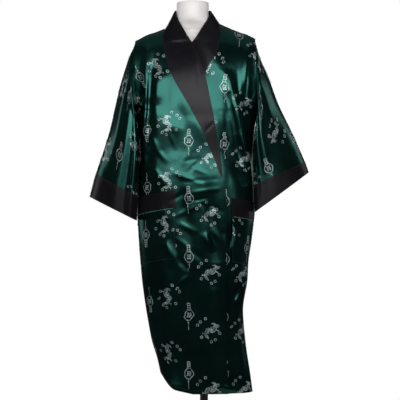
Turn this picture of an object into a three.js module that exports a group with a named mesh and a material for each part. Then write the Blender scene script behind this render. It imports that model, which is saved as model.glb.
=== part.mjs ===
// Satin kimono with a crossed black collar, on a limbless dress form and its stand.
// Millimetres, +Z up. The front faces -Y. Sizes take left and right as seen from the front,
// and pieces are named for the wearer's side.
import * as THREE from 'three';

// Cloth and seams
const clothWall = 2;
const seamGap = 0.3;
const lapelSeamGap = 0.5;
const overlapStep = 9;
const patchClearance = 1.1;
const patchSideShare = 0.965;

// Main heights and widths of the worn robe
const hemHeight = 147;
const armpitHeight = 1125;
const armholeHalfDepth = 62;

// The hem climbs slowly to the left, then turns up round the corner of the right front.
// The climb fades away up the skirt with the given power.
const hemClimb = { start: 10, slope: 0.2 };
const hemCorner = { start: 66, reach: 66, rise: 70, steepness: 1.4, power: 2.4 };
const hemFade = 7;

// Shape of the body across its width and up to the shoulder line
const roundPower = 0.86;
const shoulderPower = { front: 0.6, back: 0.33 };
const openedLift = 0.4;
const sideBlend = { power: 10, fullness: 0.5 };
const foldFade = { side: 0.86, shoulder: 0.85 };
const foldTaper = 0.7;

// Half widths and depths of the robe at each height below the armpits
const bodySections = [
  { height: 140, left: 124, right: 199, front: 88, back: 92 },
  { height: 215, left: 136, right: 189, front: 92, back: 95 },
  { height: 292, left: 154, right: 177, front: 96, back: 98 },
  { height: 374, left: 167, right: 168, front: 101, back: 102 },
  { height: 440, left: 177, right: 165, front: 105, back: 106 },
  { height: 535, left: 189, right: 180, front: 110, back: 112 },
  { height: 604, left: 195, right: 184, front: 114, back: 116 },
  { height: 698, left: 204, right: 199, front: 119, back: 121 },
  { height: 770, left: 208, right: 208, front: 122, back: 124 },
  { height: 860, left: 208, right: 208, front: 127, back: 122 },
  { height: 980, left: 202, right: 204, front: 122, back: 106 },
  { height: 1080, left: 207, right: 208, front: 126, back: 104 },
  { height: 1104, left: 210, right: 212, front: 126, back: 105 },
  { height: 1125, left: 208, right: 210, front: 125, back: 106 },
];

// Top of each armhole, where the shoulder line ends
const armholeTop = { left: 213, right: 207 };

// Shoulder line: height at each distance from the middle of the shoulders
const shoulderMiddle = 5;
const shoulderLine = [
  { out: 0, height: 1462 },
  { out: 60, height: 1440 },
  { out: 90, height: 1427 },
  { out: 122, height: 1413 },
  { out: 148, height: 1402.5 },
  { out: 172, height: 1395 },
  { out: 190, height: 1386.5 },
  { out: 218, height: 1371 },
];

// Lapel on top: x of its seam with the right front and of its free edge
const topLapel = [
  { height: 140, seam: 112, free: 112 },
  { height: 560, seam: 103, free: 103 },
  { height: 885, seam: 92, free: 92 },
  { height: 909, seam: 79, free: 91 },
  { height: 942, seam: 69, free: 87.5 },
  { height: 982, seam: 51.5, free: 82.5 },
  { height: 1027, seam: 33.5, free: 74.5 },
  { height: 1066, seam: 15, free: 67 },
  { height: 1113, seam: -10.5, free: 59 },
  { height: 1176, seam: -45.5, free: 46 },
  { height: 1218, seam: -70, free: 38 },
  { height: 1256, seam: -88, free: 28.5 },
  { height: 1291, seam: -100, free: 16.5 },
  { height: 1325, seam: -109, free: 2.5 },
  { height: 1360, seam: -115, free: -14 },
  { height: 1390, seam: -115, free: -14 },
  { height: 1425, seam: -104, free: -14 },
];

// Lapel below: the same two lines on the left front, which passes under the right one
const underLapel = [
  { height: 140, seam: -50, free: -50 },
  { height: 560, seam: -110, free: -110 },
  { height: 885, seam: -134, free: -134 },
  { height: 942, seam: -112, free: -132 },
  { height: 1027, seam: -82, free: -117 },
  { height: 1113, seam: -44, free: -99 },
  { height: 1176, seam: -8, free: -80 },
  { height: 1218, seam: 14, free: -68 },
  { height: 1249, seam: 30, free: -58 },
  { height: 1280, seam: 45, free: -47 },
  { height: 1304, seam: 61, free: -38 },
  { height: 1325, seam: 71, free: -30 },
  { height: 1350, seam: 80, free: -18 },
  { height: 1360, seam: 82, free: -14 },
  { height: 1390, seam: 85, free: -14 },
  { height: 1428, seam: 84, free: -14 },
];
const lapelFootRow = 13;
const crossingHeight = 1360;
const crossingX = -14;

// Collar's free edge from the crossing up to the side of the neck, as shares of the way
const collarRise = [
  { share: 0, out: 0, lift: 0, back: 0 },
  { share: 0.2, out: 0.26, lift: 0.2, back: 0.08 },
  { share: 0.4, out: 0.5, lift: 0.42, back: 0.22 },
  { share: 0.6, out: 0.74, lift: 0.64, back: 0.42 },
  { share: 0.8, out: 0.92, lift: 0.84, back: 0.7 },
  { share: 1, out: 1, lift: 1, back: 1 },
];
const neckX = -11;
const collarRadius = 63;
const collarBackRadius = 64;
const collarSideHeight = 1478;
const collarNapeHeight = 1487;
const collarBulge = 5;
const napeSeamHalfWidth = 94;
const napeSeamDepth = 74;

// Folds of the body, as lines from top to bottom: ridges are positive, troughs negative
const bodyFolds = [
  { face: 'front', topX: -168, topZ: 1350, footX: -186, footZ: 990, width: 13, depth: 9 },
  { face: 'front', topX: -146, topZ: 1330, footX: -172, footZ: 960, width: 12, depth: -8 },
  { face: 'front', topX: -128, topZ: 1290, footX: -148, footZ: 862, width: 34, depth: 13 },
  { face: 'front', topX: 108, topZ: 1262, footX: 200, footZ: 850, width: 15, depth: 15 },
  { face: 'front', topX: 84, topZ: 1256, footX: 146, footZ: 1040, width: 13, depth: -9 },
  { face: 'front', topX: 104, topZ: 1190, footX: 170, footZ: 800, width: 30, depth: -13 },
  { face: 'front', topX: 180, topZ: 1350, footX: 150, footZ: 1130, width: 12, depth: 8 },
  { face: 'front', topX: -60, topZ: 900, footX: -20, footZ: 640, width: 20, depth: -7 },
  { face: 'front', topX: 40, topZ: 880, footX: 70, footZ: 600, width: 18, depth: -8 },
  { face: 'front', topX: -110, topZ: 640, footX: -70, footZ: 180, width: 24, depth: 7 },
  { face: 'front', topX: 60, topZ: 520, footX: 120, footZ: 90, width: 22, depth: 8 },
  { face: 'back', topX: -150, topZ: 1340, footX: -120, footZ: 900, width: 20, depth: -8 },
  { face: 'back', topX: 140, topZ: 1350, footX: 120, footZ: 880, width: 20, depth: -9 },
  { face: 'back', topX: -30, topZ: 1000, footX: -60, footZ: 90, width: 26, depth: 8 },
  { face: 'back', topX: 80, topZ: 940, footX: 100, footZ: 90, width: 26, depth: 7 },
  { face: 'back', topX: -110, topZ: 700, footX: -90, footZ: 90, width: 24, depth: -7 },
];

// Sleeves: outer and under edge by share of the length, with the half depth of the tube
// and how far the under edge lies in front of the middle plane, over the side of the body
const sleeveSections = {
  left: [
    { along: 0, outX: 213, outZ: 1371, inX: 208, inZ: 1125, depth: 62, forward: 0 },
    { along: 0.06, outX: 222, outZ: 1347, inX: 210, inZ: 1119, depth: 62, forward: 20 },
    { along: 0.14, outX: 236, outZ: 1317, inX: 207, inZ: 1096, depth: 62, forward: 54 },
    { along: 0.3, outX: 262, outZ: 1235, inX: 200, inZ: 1045, depth: 62, forward: 62 },
    { along: 0.45, outX: 283, outZ: 1150, inX: 195, inZ: 988, depth: 62, forward: 68 },
    { along: 0.6, outX: 303, outZ: 1062, inX: 195, inZ: 930, depth: 62, forward: 70 },
    { along: 0.75, outX: 330, outZ: 974, inX: 197, inZ: 870, depth: 61, forward: 70 },
    { along: 0.85, outX: 351, outZ: 910, inX: 200, inZ: 826, depth: 60, forward: 70 },
    { along: 1, outX: 373, outZ: 828, inX: 204, inZ: 745, depth: 62, forward: 66 },
  ],
  right: [
    { along: 0, outX: 207, outZ: 1380, inX: 210, inZ: 1125, depth: 62, forward: 0 },
    { along: 0.06, outX: 214, outZ: 1355, inX: 212, inZ: 1119, depth: 62, forward: 20 },
    { along: 0.14, outX: 226, outZ: 1318, inX: 209, inZ: 1096, depth: 61, forward: 54 },
    { along: 0.3, outX: 259, outZ: 1238, inX: 202, inZ: 1050, depth: 59, forward: 62 },
    { along: 0.45, outX: 290, outZ: 1152, inX: 197, inZ: 1000, depth: 56, forward: 68 },
    { along: 0.6, outX: 330, outZ: 1068, inX: 196, inZ: 948, depth: 53, forward: 70 },
    { along: 0.75, outX: 363, outZ: 995, inX: 198, inZ: 900, depth: 51, forward: 70 },
    { along: 0.85, outX: 381, outZ: 952, inX: 200, inZ: 866, depth: 50, forward: 70 },
    { along: 1, outX: 395, outZ: 913, inX: 203, inZ: 774, depth: 52, forward: 68 },
  ],
};
const bandStart = 0.85;
const sleeveLength = 500;

// The tube's section gets fuller along the first part of the sleeve
const sleeveFullness = { power: 0.82, reach: 0.4 };

// Sleeve folds: turn runs from -90 at the under edge over 0 at the front to 90 at the top
const sleeveFolds = [
  { side: 'left', face: 'front', turn: 24, width: 13, depth: 6, start: 0.05, end: 0.8 },
  { side: 'left', face: 'front', turn: -44, width: 12, depth: 9, start: 0.4, end: 1.2 },
  { side: 'left', face: 'front', turn: -20, width: 12, depth: -7, start: 0.2, end: 1.15 },
  { side: 'left', face: 'back', turn: 8, width: 15, depth: -8, start: 0.1, end: 1 },
  { side: 'right', face: 'front', turn: 14, width: 14, depth: 5, start: 0, end: 0.6 },
  { side: 'right', face: 'front', turn: -40, width: 13, depth: -9, start: 0.15, end: 1.15 },
  { side: 'right', face: 'back', turn: 0, width: 15, depth: -8, start: 0.15, end: 1.1 },
];

// Patch pockets: the band's lower edge is the seam between band and bag
const pockets = [
  { name: 'right', near: -70, far: -200, seamNear: 790, seamFar: 763, bandHeight: 61, bagDepth: 176 },
  { name: 'left', near: 124, far: 199, seamNear: 760, seamFar: 745, bandHeight: 62, bagDepth: 160 },
];

// Dress form: smooth sections from the flat bottom to the top of the neck
const formWallClearance = 0.8;
const formCollarDrop = 6;
const formSections = [
  { height: 790, middle: 3, half: 138, front: 84, back: 92 },
  { height: 812, middle: 3, half: 152, front: 93, back: 101 },
  { height: 860, middle: 3, half: 163, front: 98, back: 106 },
  { height: 920, middle: 3, half: 158, front: 96, back: 98 },
  { height: 985, middle: 3, half: 134, front: 91, back: 80 },
  { height: 1060, middle: 3, half: 147, front: 101, back: 82 },
  { height: 1125, middle: 4, half: 161, front: 109, back: 86 },
  { height: 1200, middle: 4, half: 166, front: 98, back: 90 },
  { height: 1280, middle: 5, half: 174, front: 76, back: 84 },
  { height: 1340, middle: 5, half: 181, front: 57, back: 66 },
  { height: 1372, middle: 5, half: 179, front: 43, back: 52 },
];
const formShoulderOuts = [172, 160, 148, 135, 122, 106];
const formShoulderDepth = { outer: 22, inner: 32 };
const formDropOuts = { none: 125, whole: 106 };
const formLean = { start: 1420, end: 1450 };
const formNeck = [
  { height: 1426, half: 76, front: 40, back: 42 },
  { height: 1440, half: 62, front: 52, back: 52 },
  { height: 1456, half: 57, front: 57, back: 57 },
  { height: 1502, half: 57, front: 57, back: 57 },
  { height: 1506, half: 54, front: 54, back: 54 },
];

// Stand
const poleX = 28;
const poleRadius = 14;
const baseRadius = 185;
const baseEdge = 7;
const baseTop = 13;
const baseBevel = 8;
const bossRadius = 24;
const bossTop = 34;
const bossFoot = { out: 3, up: 4 };
const bossTaper = 2;

// The left front drops behind the right one below its edge and below the neck
const dropReach = { far: 60, near: 12 };
const dropHeights = { none: 1424, whole: 1350 };

// Mesh density
const grid = {
  panelRows: 34,
  rightFront: { columns: 15 },
  leftFront: { columns: 12 },
  back: { outerColumns: 5, neckColumns: 10 },
  sleeve: { rows: 9 },
  band: { rows: 2 },
  lapel: { columns: 4 },
  nape: { rows: 3 },
  bag: { rows: 6, columns: 7 },
  pocketBand: { rows: 2, columns: 7 },
  form: { around: 28 },
  pole: { around: 20 },
  base: { around: 40 },
};

// Value of a table's column at a place, along a smooth line through its rows
function along(table, key, column, place) {
  const last = table.length - 1;
  if (place <= table[0][key]) return table[0][column];
  if (place >= table[last][key]) return table[last][column];
  let i = 0;
  while (place > table[i + 1][key]) i += 1;
  const slope = (a, b) => (table[b][column] - table[a][column]) / (table[b][key] - table[a][key]);
  const span = table[i + 1][key] - table[i][key];
  const share = (place - table[i][key]) / span;
  const here = slope(i, i + 1);
  const startSlope = i > 0 ? (slope(i - 1, i) + here) / 2 : here;
  const endSlope = i + 1 < last ? (here + slope(i + 1, i + 2)) / 2 : here;
  const s2 = share * share;
  const s3 = s2 * share;
  return table[i][column] * (2 * s3 - 3 * s2 + 1) + table[i + 1][column] * (3 * s2 - 2 * s3)
    + span * (startSlope * (s3 - 2 * s2 + share) + endSlope * (s3 - s2));
}

const mix = THREE.MathUtils.lerp;

// Smooth step from 0 at the first place to 1 at the second, which may be the lower one
function ramp(value, from, to) {
  const share = THREE.MathUtils.clamp((value - from) / (to - from), 0, 1);
  return share * share * (3 - 2 * share);
}

function shoulderHeight(x) {
  return along(shoulderLine, 'out', 'height', Math.abs(x - shoulderMiddle));
}

// How far the folds push a face out at a place
function foldDepth(face, x, z) {
  let sum = 0;
  for (const fold of bodyFolds) {
    if (fold.face !== face || z > fold.topZ || z < fold.footZ) continue;
    const share = (fold.topZ - z) / (fold.topZ - fold.footZ);
    const off = (x - mix(fold.topX, fold.footX, share)) / fold.width;
    sum += fold.depth * Math.exp(-off * off) * Math.sin(Math.PI * share) ** foldTaper;
  }
  return sum;
}

// A row of the body: 0 at the hem, 1 at the armpit, 2 on the shoulder line
function bodyRow(row) {
  const low = Math.min(row, 1);
  const turn = THREE.MathUtils.degToRad(180 * Math.max(row - 1, 0) - 90);
  return { low, height: mix(hemHeight, armpitHeight, low), lift: (1 + Math.sin(turn)) / 2 };
}

function rowAt(x, z) {
  if (z <= armpitHeight) {
    return { low: (z - hemHeight) / (armpitHeight - hemHeight), height: z, lift: 0 };
  }
  const lift = (z - armpitHeight) / (shoulderHeight(x) - armpitHeight);
  return { low: 1, height: armpitHeight, lift: Math.min(lift, 1) };
}

function halfWidth(side, row) {
  const low = along(bodySections, 'height', side, row.height);
  return mix(low, armholeTop[side], row.lift);
}

// Depth of the front or back face from the middle plane
function faceDepth(face, x, row) {
  const share = Math.min(Math.abs(x) / halfWidth(x < 0 ? 'left' : 'right', row), 1);
  const round = Math.sqrt(1 - share * share) ** roundPower;
  const sloped = Math.cos(share * Math.PI / 2);
  const table = along(bodySections, 'height', face, row.height);
  const middle = table * (1 - row.lift ** 2) ** shoulderPower[face];
  const atSide = share ** sideBlend.power;
  const fullness = mix(1, sideBlend.fullness, Math.max(atSide, ramp(row.lift, 0, openedLift)));
  const edge = armholeHalfDepth * (1 - (2 * row.lift - 1) ** 2) ** fullness;
  const opened = ramp(row.lift, 0, openedLift);
  return middle * mix(round, sloped, opened) + edge * mix(atSide, 1 - sloped, opened);
}

// How far the hem line lies above its lowest point at an x
function hemRise(x) {
  const climb = hemClimb.slope * Math.max(-x - hemClimb.start, 0);
  const corner = Math.max(-x - hemCorner.start, 0) / hemCorner.reach;
  return climb + hemCorner.rise * (1 - Math.exp(-hemCorner.steepness * corner ** hemCorner.power));
}

function bodyPoint(face, x, row) {
  const fade = (1 - Math.max(row.low, 0)) ** hemFade;
  const z = mix(row.height, shoulderHeight(x), row.lift) + hemRise(x) * fade;
  const share = Math.abs(x) / halfWidth(x < 0 ? 'left' : 'right', row);
  const flat = ramp(share, 1, foldFade.side) * ramp(row.lift, 1, foldFade.shoulder);
  const depth = faceDepth(face, x, row) + foldDepth(face, x, z) * flat;
  return new THREE.Vector3(x, face === 'front' ? -depth : depth, z);
}

// Point of the body's face at a place in the front view
function facePoint(face, x, z) {
  return bodyPoint(face, x, rowAt(x, z));
}

// X of a lapel line on a row of the body, whose height there depends on x
function lineOnRow(table, column, row) {
  let z = row.height;
  for (let turn = 0; turn < 8; turn += 1) {
    z = mix(row.height, shoulderHeight(along(table, 'height', column, z)), row.lift);
  }
  return along(table, 'height', column, z);
}

// Outward direction at a grid point, from its neighbours
function gridNormal(points, i, j, closed) {
  const columns = points[0].length;
  const before = closed ? (j + columns - 1) % columns : Math.max(j - 1, 0);
  const after = closed ? (j + 1) % columns : Math.min(j + 1, columns - 1);
  const across = points[i][after].clone().sub(points[i][before]);
  const up = points[Math.min(i + 1, points.length - 1)][j].clone().sub(points[Math.max(i - 1, 0)][j]);
  return across.cross(up).normalize();
}

// Closed wall on a grid of points, whose columns and rows turn outward.
// seams gives, for an edge, the axis that the wall's thickness leaves alone there.
function wallGeometry(points, { outer = 0, inner = -clothWall, closed = false, seams = () => '' } = {}) {
  const rows = points.length;
  const columns = points[0].length;
  const positions = [];
  const place = (shift) => {
    for (let i = 0; i < rows; i += 1) {
      for (let j = 0; j < columns; j += 1) {
        const normal = gridNormal(points, i, j, closed);
        for (const axis of seams(i, j)) normal[axis] = 0;
        const point = points[i][j].clone().addScaledVector(normal.normalize(), shift);
        positions.push(point.x, point.y, point.z);
      }
    }
  };
  place(outer);
  place(inner);
  const outside = (i, j) => i * columns + (j % columns);
  const inside = (i, j) => rows * columns + outside(i, j);
  const index = [];
  const quad = (a, b, c, d) => index.push(a, b, c, a, c, d);
  const spans = closed ? columns : columns - 1;
  for (let i = 0; i < rows - 1; i += 1) {
    for (let j = 0; j < spans; j += 1) {
      quad(outside(i, j), outside(i, j + 1), outside(i + 1, j + 1), outside(i + 1, j));
      quad(inside(i, j), inside(i + 1, j), inside(i + 1, j + 1), inside(i, j + 1));
    }
  }
  for (let j = 0; j < spans; j += 1) {
    const top = rows - 1;
    quad(outside(0, j), inside(0, j), inside(0, j + 1), outside(0, j + 1));
    quad(outside(top, j), outside(top, j + 1), inside(top, j + 1), inside(top, j));
  }
  for (let i = 0; i < rows - 1 && !closed; i += 1) {
    const end = columns - 1;
    quad(outside(i, 0), outside(i + 1, 0), inside(i + 1, 0), inside(i, 0));
    quad(outside(i, end), inside(i, end), inside(i + 1, end), outside(i + 1, end));
  }
  return meshGeometry(positions, index);
}

function meshGeometry(positions, index) {
  const geometry = new THREE.BufferGeometry();
  geometry.setAttribute('position', new THREE.Float32BufferAttribute(positions, 3));
  geometry.setIndex(index);
  geometry.computeVertexNormals();
  return geometry;
}

// Front panel from its side seam to its lapel seam, whose columns run to the right
function frontGrid(side, table, size) {
  const sign = side === 'left' ? -1 : 1;
  const points = [];
  for (let i = 0; i <= grid.panelRows; i += 1) {
    const row = bodyRow(2 * i / grid.panelRows);
    const width = halfWidth(side, row);
    const seam = lineOnRow(table, 'seam', row);
    const from = Math.PI / 2 * sign;
    const otherWidth = halfWidth(seam < 0 ? 'left' : 'right', row);
    const to = Math.asin(THREE.MathUtils.clamp(seam / otherWidth, -1, 1));
    const line = [];
    for (let j = 0; j <= size.columns; j += 1) {
      const angle = mix(from, to, j / size.columns);
      const reach = Math.sin(angle);
      const x = reach * (reach * sign > 0 ? width : otherWidth);
      const point = bodyPoint('front', x, row);
      if (i === grid.panelRows) point.y = -seamGap / 2;
      if (j === 0 && row.lift <= 0) point.y = -seamGap / 2;
      if (j === 0 && row.lift > 0) point.x -= sign * seamGap / 2;
      if (j === 0 && row.lift > 0) point.y = Math.min(point.y, -seamGap / 2);
      line.push(point);
    }
    points.push(sign < 0 ? line : line.reverse());
  }
  return points;
}

// Thickness at the side seam keeps off y, at the armhole off x, and on the shoulder off y
function seamAxes(i, atSide, onShoulder) {
  const axes = [];
  const { lift } = bodyRow(2 * i / grid.panelRows);
  if (onShoulder) axes.push('y');
  if (atSide && lift > 0) axes.push('x');
  if (atSide && lift <= 0) axes.push('y');
  return axes;
}

function panelSeams(sideColumn) {
  return (i, j) => seamAxes(i, j === sideColumn, i === grid.panelRows);
}

function rightFront() {
  return wallGeometry(frontGrid('left', topLapel, grid.rightFront), { seams: panelSeams(0) });
}

// The left front drops behind the right one where they overlap
function dropBehind(point) {
  const edge = along(topLapel, 'height', 'free', point.z);
  const under = ramp(point.x, edge + dropReach.far, edge + dropReach.near);
  point.y += overlapStep * under * ramp(point.z, dropHeights.none, dropHeights.whole);
}

function leftFront() {
  const size = grid.leftFront;
  const points = frontGrid('right', underLapel, size);
  points.flat().forEach(dropBehind);
  return wallGeometry(points, { seams: panelSeams(size.columns) });
}

// Depth of the neck seam behind the neck at an x
function napeSeam(x) {
  const share = Math.min(Math.abs(x - neckX) / napeSeamHalfWidth, 1);
  return napeSeamDepth * Math.sqrt(1 - share * share);
}

// Share of the way to the shoulder line where the back ends at the neck seam
function napeLift(x) {
  let low = 0.6;
  let high = 1;
  for (let turn = 0; turn < 30; turn += 1) {
    const lift = (low + high) / 2;
    if (faceDepth('back', x, { low: 1, height: armpitHeight, lift }) > napeSeam(x)) low = lift;
    else high = lift;
  }
  return low;
}

// Columns of the back as shares of the half width, closer at the sides and at the neck seam
function backShares() {
  const size = grid.back;
  const neckLeft = (neckX - napeSeamHalfWidth) / armholeTop.left;
  const neckRight = (neckX + napeSeamHalfWidth) / armholeTop.right;
  const shares = [];
  for (let j = 0; j < size.outerColumns; j += 1) {
    shares.push(Math.sin(mix(-Math.PI / 2, Math.asin(neckLeft), j / size.outerColumns)));
  }
  for (let j = 0; j <= size.neckColumns; j += 1) {
    shares.push(mix(neckLeft, neckRight, (1 - Math.cos(Math.PI * j / size.neckColumns)) / 2));
  }
  for (let j = 1; j <= size.outerColumns; j += 1) {
    shares.push(Math.sin(mix(Math.asin(neckRight), Math.PI / 2, j / size.outerColumns)));
  }
  return shares;
}

function backPanel() {
  const shares = backShares();
  const points = [];
  for (let i = 0; i <= grid.panelRows; i += 1) {
    const plain = bodyRow(2 * i / grid.panelRows);
    const line = shares.map((share) => {
      const side = share < 0 ? 'left' : 'right';
      const topX = share * armholeTop[side];
      const row = { ...plain, lift: plain.lift * napeLift(topX) };
      const x = share * halfWidth(side, row);
      const point = bodyPoint('back', x, row);
      const atSide = Math.abs(share) > 0.9999;
      if (atSide && plain.lift <= 0) point.y = seamGap / 2;
      if (atSide && plain.lift > 0) point.x -= Math.sign(share) * seamGap / 2;
      point.y = Math.max(point.y, seamGap / 2);
      return point;
    });
    points.push(line.reverse());
  }
  const last = shares.length - 1;
  const seams = (i, j) => {
    const onShoulder = i === grid.panelRows && points[i][j].y < 1;
    return seamAxes(i, j === 0 || j === last, onShoulder);
  };
  return wallGeometry(points, { seams });
}

// Sleeve tube between two shares of its length
function sleeveGrid(side, start, end, rows) {
  const sign = side === 'left' ? -1 : 1;
  const table = sleeveSections[side];
  const around = grid.panelRows;
  const points = [];
  for (let i = 0; i <= rows; i += 1) {
    const place = mix(start, end, i / rows);
    const value = (column) => along(table, 'along', column, place);
    const top = new THREE.Vector2(value('outX'), value('outZ'));
    const under = new THREE.Vector2(value('inX'), value('inZ'));
    const power = mix(1, sleeveFullness.power, ramp(place, 0, sleeveFullness.reach));
    const line = [];
    for (let j = 0; j < around; j += 1) {
      const angle = 2 * Math.PI * j / around - Math.PI / 2;
      const up = Math.sign(Math.sin(angle)) * Math.abs(Math.sin(angle)) ** power;
      const forward = Math.sign(Math.cos(angle)) * Math.abs(Math.cos(angle)) ** power;
      const shift = value('forward') * (1 - up) / 2;
      const depth = forward * value('depth') + shift + sleeveFold(side, angle, place);
      const spot = under.clone().lerp(top, (1 + up) / 2);
      line.push(new THREE.Vector3(sign * spot.x, -depth, spot.y));
    }
    points.push(side === 'left' ? line : line.reverse());
  }
  return points;
}

function sleeveFold(side, angle, place) {
  const front = Math.cos(angle) >= 0;
  const turn = THREE.MathUtils.radToDeg(Math.asin(Math.sin(angle)));
  let sum = 0;
  for (const fold of sleeveFolds) {
    if (fold.side !== side || (fold.face === 'front') !== front) continue;
    if (place < fold.start || place > fold.end) continue;
    const share = (place - fold.start) / (fold.end - fold.start);
    const off = (turn - fold.turn) / fold.width;
    sum += fold.depth * Math.exp(-off * off) * Math.sin(Math.PI * share) ** foldTaper;
  }
  return front ? sum : -sum;
}

function sleeve(side) {
  const points = sleeveGrid(side, 0, bandStart, grid.sleeve.rows);
  const sign = side === 'left' ? -1 : 1;
  for (const point of points[0]) point.x += sign * seamGap / 2;
  return wallGeometry(points, { closed: true, seams: (i) => (i === 0 ? ['x'] : []) });
}

function sleeveBand(side) {
  const gapShare = seamGap / sleeveLength;
  const points = sleeveGrid(side, bandStart + gapShare, 1, grid.band.rows);
  return wallGeometry(points, { closed: true });
}

// Free edge of the collar, from the crossing up to the side of the neck
function collarEdge(side, share) {
  const sign = side === 'left' ? -1 : 1;
  const start = facePoint('front', crossingX, crossingHeight);
  const way = (column) => along(collarRise, 'share', column, share);
  return new THREE.Vector3(
    mix(start.x, neckX + sign * collarRadius, way('out')),
    mix(start.y, -seamGap / 2, way('back')),
    mix(start.z, collarSideHeight, way('lift')),
  );
}

// Lapel and front half of the collar, on the same rows as the panel it is sewn to
function lapelGrid(side, table) {
  const { columns } = grid.lapel;
  const sign = side === 'left' ? 1 : -1;
  const points = [];
  for (let i = lapelFootRow; i <= grid.panelRows; i += 1) {
    const row = bodyRow(2 * i / grid.panelRows);
    const seam = bodyPoint('front', lineOnRow(table, 'seam', row), row);
    const rise = (seam.z - crossingHeight) / (shoulderHeight(seam.x) - crossingHeight);
    const share = Math.min(rise, 1);
    const freeX = along(table, 'height', 'free', seam.z);
    seam.x += sign * lapelSeamGap;
    if (i === grid.panelRows) seam.y = -seamGap / 2;
    const line = [];
    for (let j = 0; j <= columns; j += 1) {
      const across = j / columns;
      if (share <= 0) {
        line.push(facePoint('front', mix(seam.x, freeX, across), seam.z));
      } else {
        const point = seam.clone().lerp(collarEdge(side, share), across);
        point.y -= collarBulge * Math.sin(Math.PI * across) * (1 - share);
        line.push(point);
      }
    }
    points.push(line);
  }
  return sign > 0 ? points : points.map((line) => line.reverse());
}

function lapelWall(side, table, settle = () => {}) {
  const points = lapelGrid(side, table);
  points.flat().forEach(settle);
  const last = points.length - 1;
  return wallGeometry(points, { seams: (i) => (i === last ? ['y'] : []) });
}

// Back half of the collar, standing behind the neck from shoulder line to shoulder line
function napeCollar() {
  const columns = grid.back.neckColumns;
  const points = [];
  for (let i = 0; i <= grid.nape.rows; i += 1) {
    const up = i / grid.nape.rows;
    const line = [];
    for (let j = 0; j <= columns; j += 1) {
      const out = Math.cos(Math.PI * j / columns);
      const back = Math.sin(Math.PI * j / columns);
      const seamX = neckX + out * napeSeamHalfWidth;
      const row = { low: 1, height: armpitHeight, lift: napeLift(seamX) };
      const seam = bodyPoint('back', seamX, row);
      seam.x -= out * seamGap;
      seam.y = Math.max(seam.y, seamGap / 2);
      seam.z += seamGap;
      const top = new THREE.Vector3(
        neckX + out * collarRadius,
        seamGap / 2 + back * collarBackRadius,
        mix(collarSideHeight, collarNapeHeight, back),
      );
      line.push(seam.lerp(top, up));
    }
    points.push(line);
  }
  const ends = [0, columns];
  return wallGeometry(points, { seams: (i, j) => (ends.includes(j) ? ['y'] : []) });
}

// Patch that lies on the front between two lines, moved out from the panel
function pocketPatch(pocket, low, high, size) {
  const points = [];
  const side = pocket.far < 0 ? 'left' : 'right';
  for (let i = 0; i <= size.rows; i += 1) {
    const line = [];
    const lift = mix(low, high, i / size.rows);
    const width = halfWidth(side, rowAt(pocket.far, pocket.seamFar + lift));
    const from = Math.asin(pocket.near / width);
    const to = Math.asin(THREE.MathUtils.clamp(pocket.far / width, -patchSideShare, patchSideShare));
    for (let j = 0; j <= size.columns; j += 1) {
      const across = j / size.columns;
      const z = mix(pocket.seamNear, pocket.seamFar, across) + lift;
      line.push(facePoint('front', width * Math.sin(mix(from, to, across)), z));
    }
    points.push(pocket.far > pocket.near ? line : line.reverse());
  }
  return wallGeometry(points, { outer: patchClearance + clothWall, inner: patchClearance });
}

// Closed body through elliptical sections
function stackedSections(sections, around) {
  const positions = [];
  const index = [];
  for (const section of sections) {
    for (let j = 0; j < around; j += 1) {
      const angle = 2 * Math.PI * j / around;
      const depth = Math.sin(angle) < 0 ? section.front : section.back;
      positions.push(
        section.middle + Math.cos(angle) * section.half,
        Math.sin(angle) * depth,
        section.height,
      );
    }
  }
  for (let i = 0; i < sections.length - 1; i += 1) {
    for (let j = 0; j < around; j += 1) {
      const a = i * around + j;
      const b = i * around + (j + 1) % around;
      index.push(a, b, b + around, a, b + around, a + around);
    }
  }
  const top = (sections.length - 1) * around;
  for (let j = 1; j < around - 1; j += 1) {
    index.push(0, j + 1, j);
    index.push(top, top + j, top + j + 1);
  }
  return meshGeometry(positions, index);
}

function dressForm() {
  const sections = formSections.map((section) => ({ ...section }));
  formShoulderOuts.forEach((out, step) => {
    const share = step / (formShoulderOuts.length - 1);
    const depth = mix(formShoulderDepth.outer, formShoulderDepth.inner, share);
    const lowered = formCollarDrop * ramp(out, formDropOuts.none, formDropOuts.whole);
    sections.push({
      height: along(shoulderLine, 'out', 'height', out) - clothWall - formWallClearance - lowered,
      middle: shoulderMiddle,
      half: out,
      front: depth,
      back: depth,
    });
  });
  for (const section of formNeck) {
    const middle = mix(shoulderMiddle, neckX, ramp(section.height, formLean.start, formLean.end));
    sections.push({ ...section, middle });
  }
  return stackedSections(sections, grid.form.around);
}

function pole() {
  const bottom = bossTop + seamGap;
  const top = formSections[0].height - seamGap;
  const geometry = new THREE.CylinderGeometry(poleRadius, poleRadius, top - bottom, grid.pole.around);
  geometry.rotateX(Math.PI / 2);
  geometry.translate(poleX, 0, (top + bottom) / 2);
  return geometry;
}

function standBase() {
  const profile = [
    [0, 0],
    [baseRadius, 0],
    [baseRadius, baseEdge],
    [baseRadius - baseBevel, baseTop],
    [bossRadius + bossFoot.out, baseTop],
    [bossRadius, baseTop + bossFoot.up],
    [bossRadius - bossTaper, bossTop],
    [0, bossTop],
  ].map(([radius, height]) => new THREE.Vector2(radius, height));
  const geometry = new THREE.LatheGeometry(profile, grid.base.around);
  geometry.rotateX(Math.PI / 2);
  geometry.translate(poleX, 0, 0);
  return geometry;
}

const greenSatin = () => new THREE.MeshStandardMaterial({ color: '#1f5246', roughness: 0.35, metalness: 0 });
const blackSatin = () => new THREE.MeshStandardMaterial({ color: '#141316', roughness: 0.35, metalness: 0 });
const formCoat = () => new THREE.MeshStandardMaterial({ color: '#d8d5d3', roughness: 0.5, metalness: 0 });
const standPaint = () => new THREE.MeshStandardMaterial({ color: '#1a1a1c', roughness: 0.4, metalness: 0.6 });

const kimono = new THREE.Group();

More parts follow.
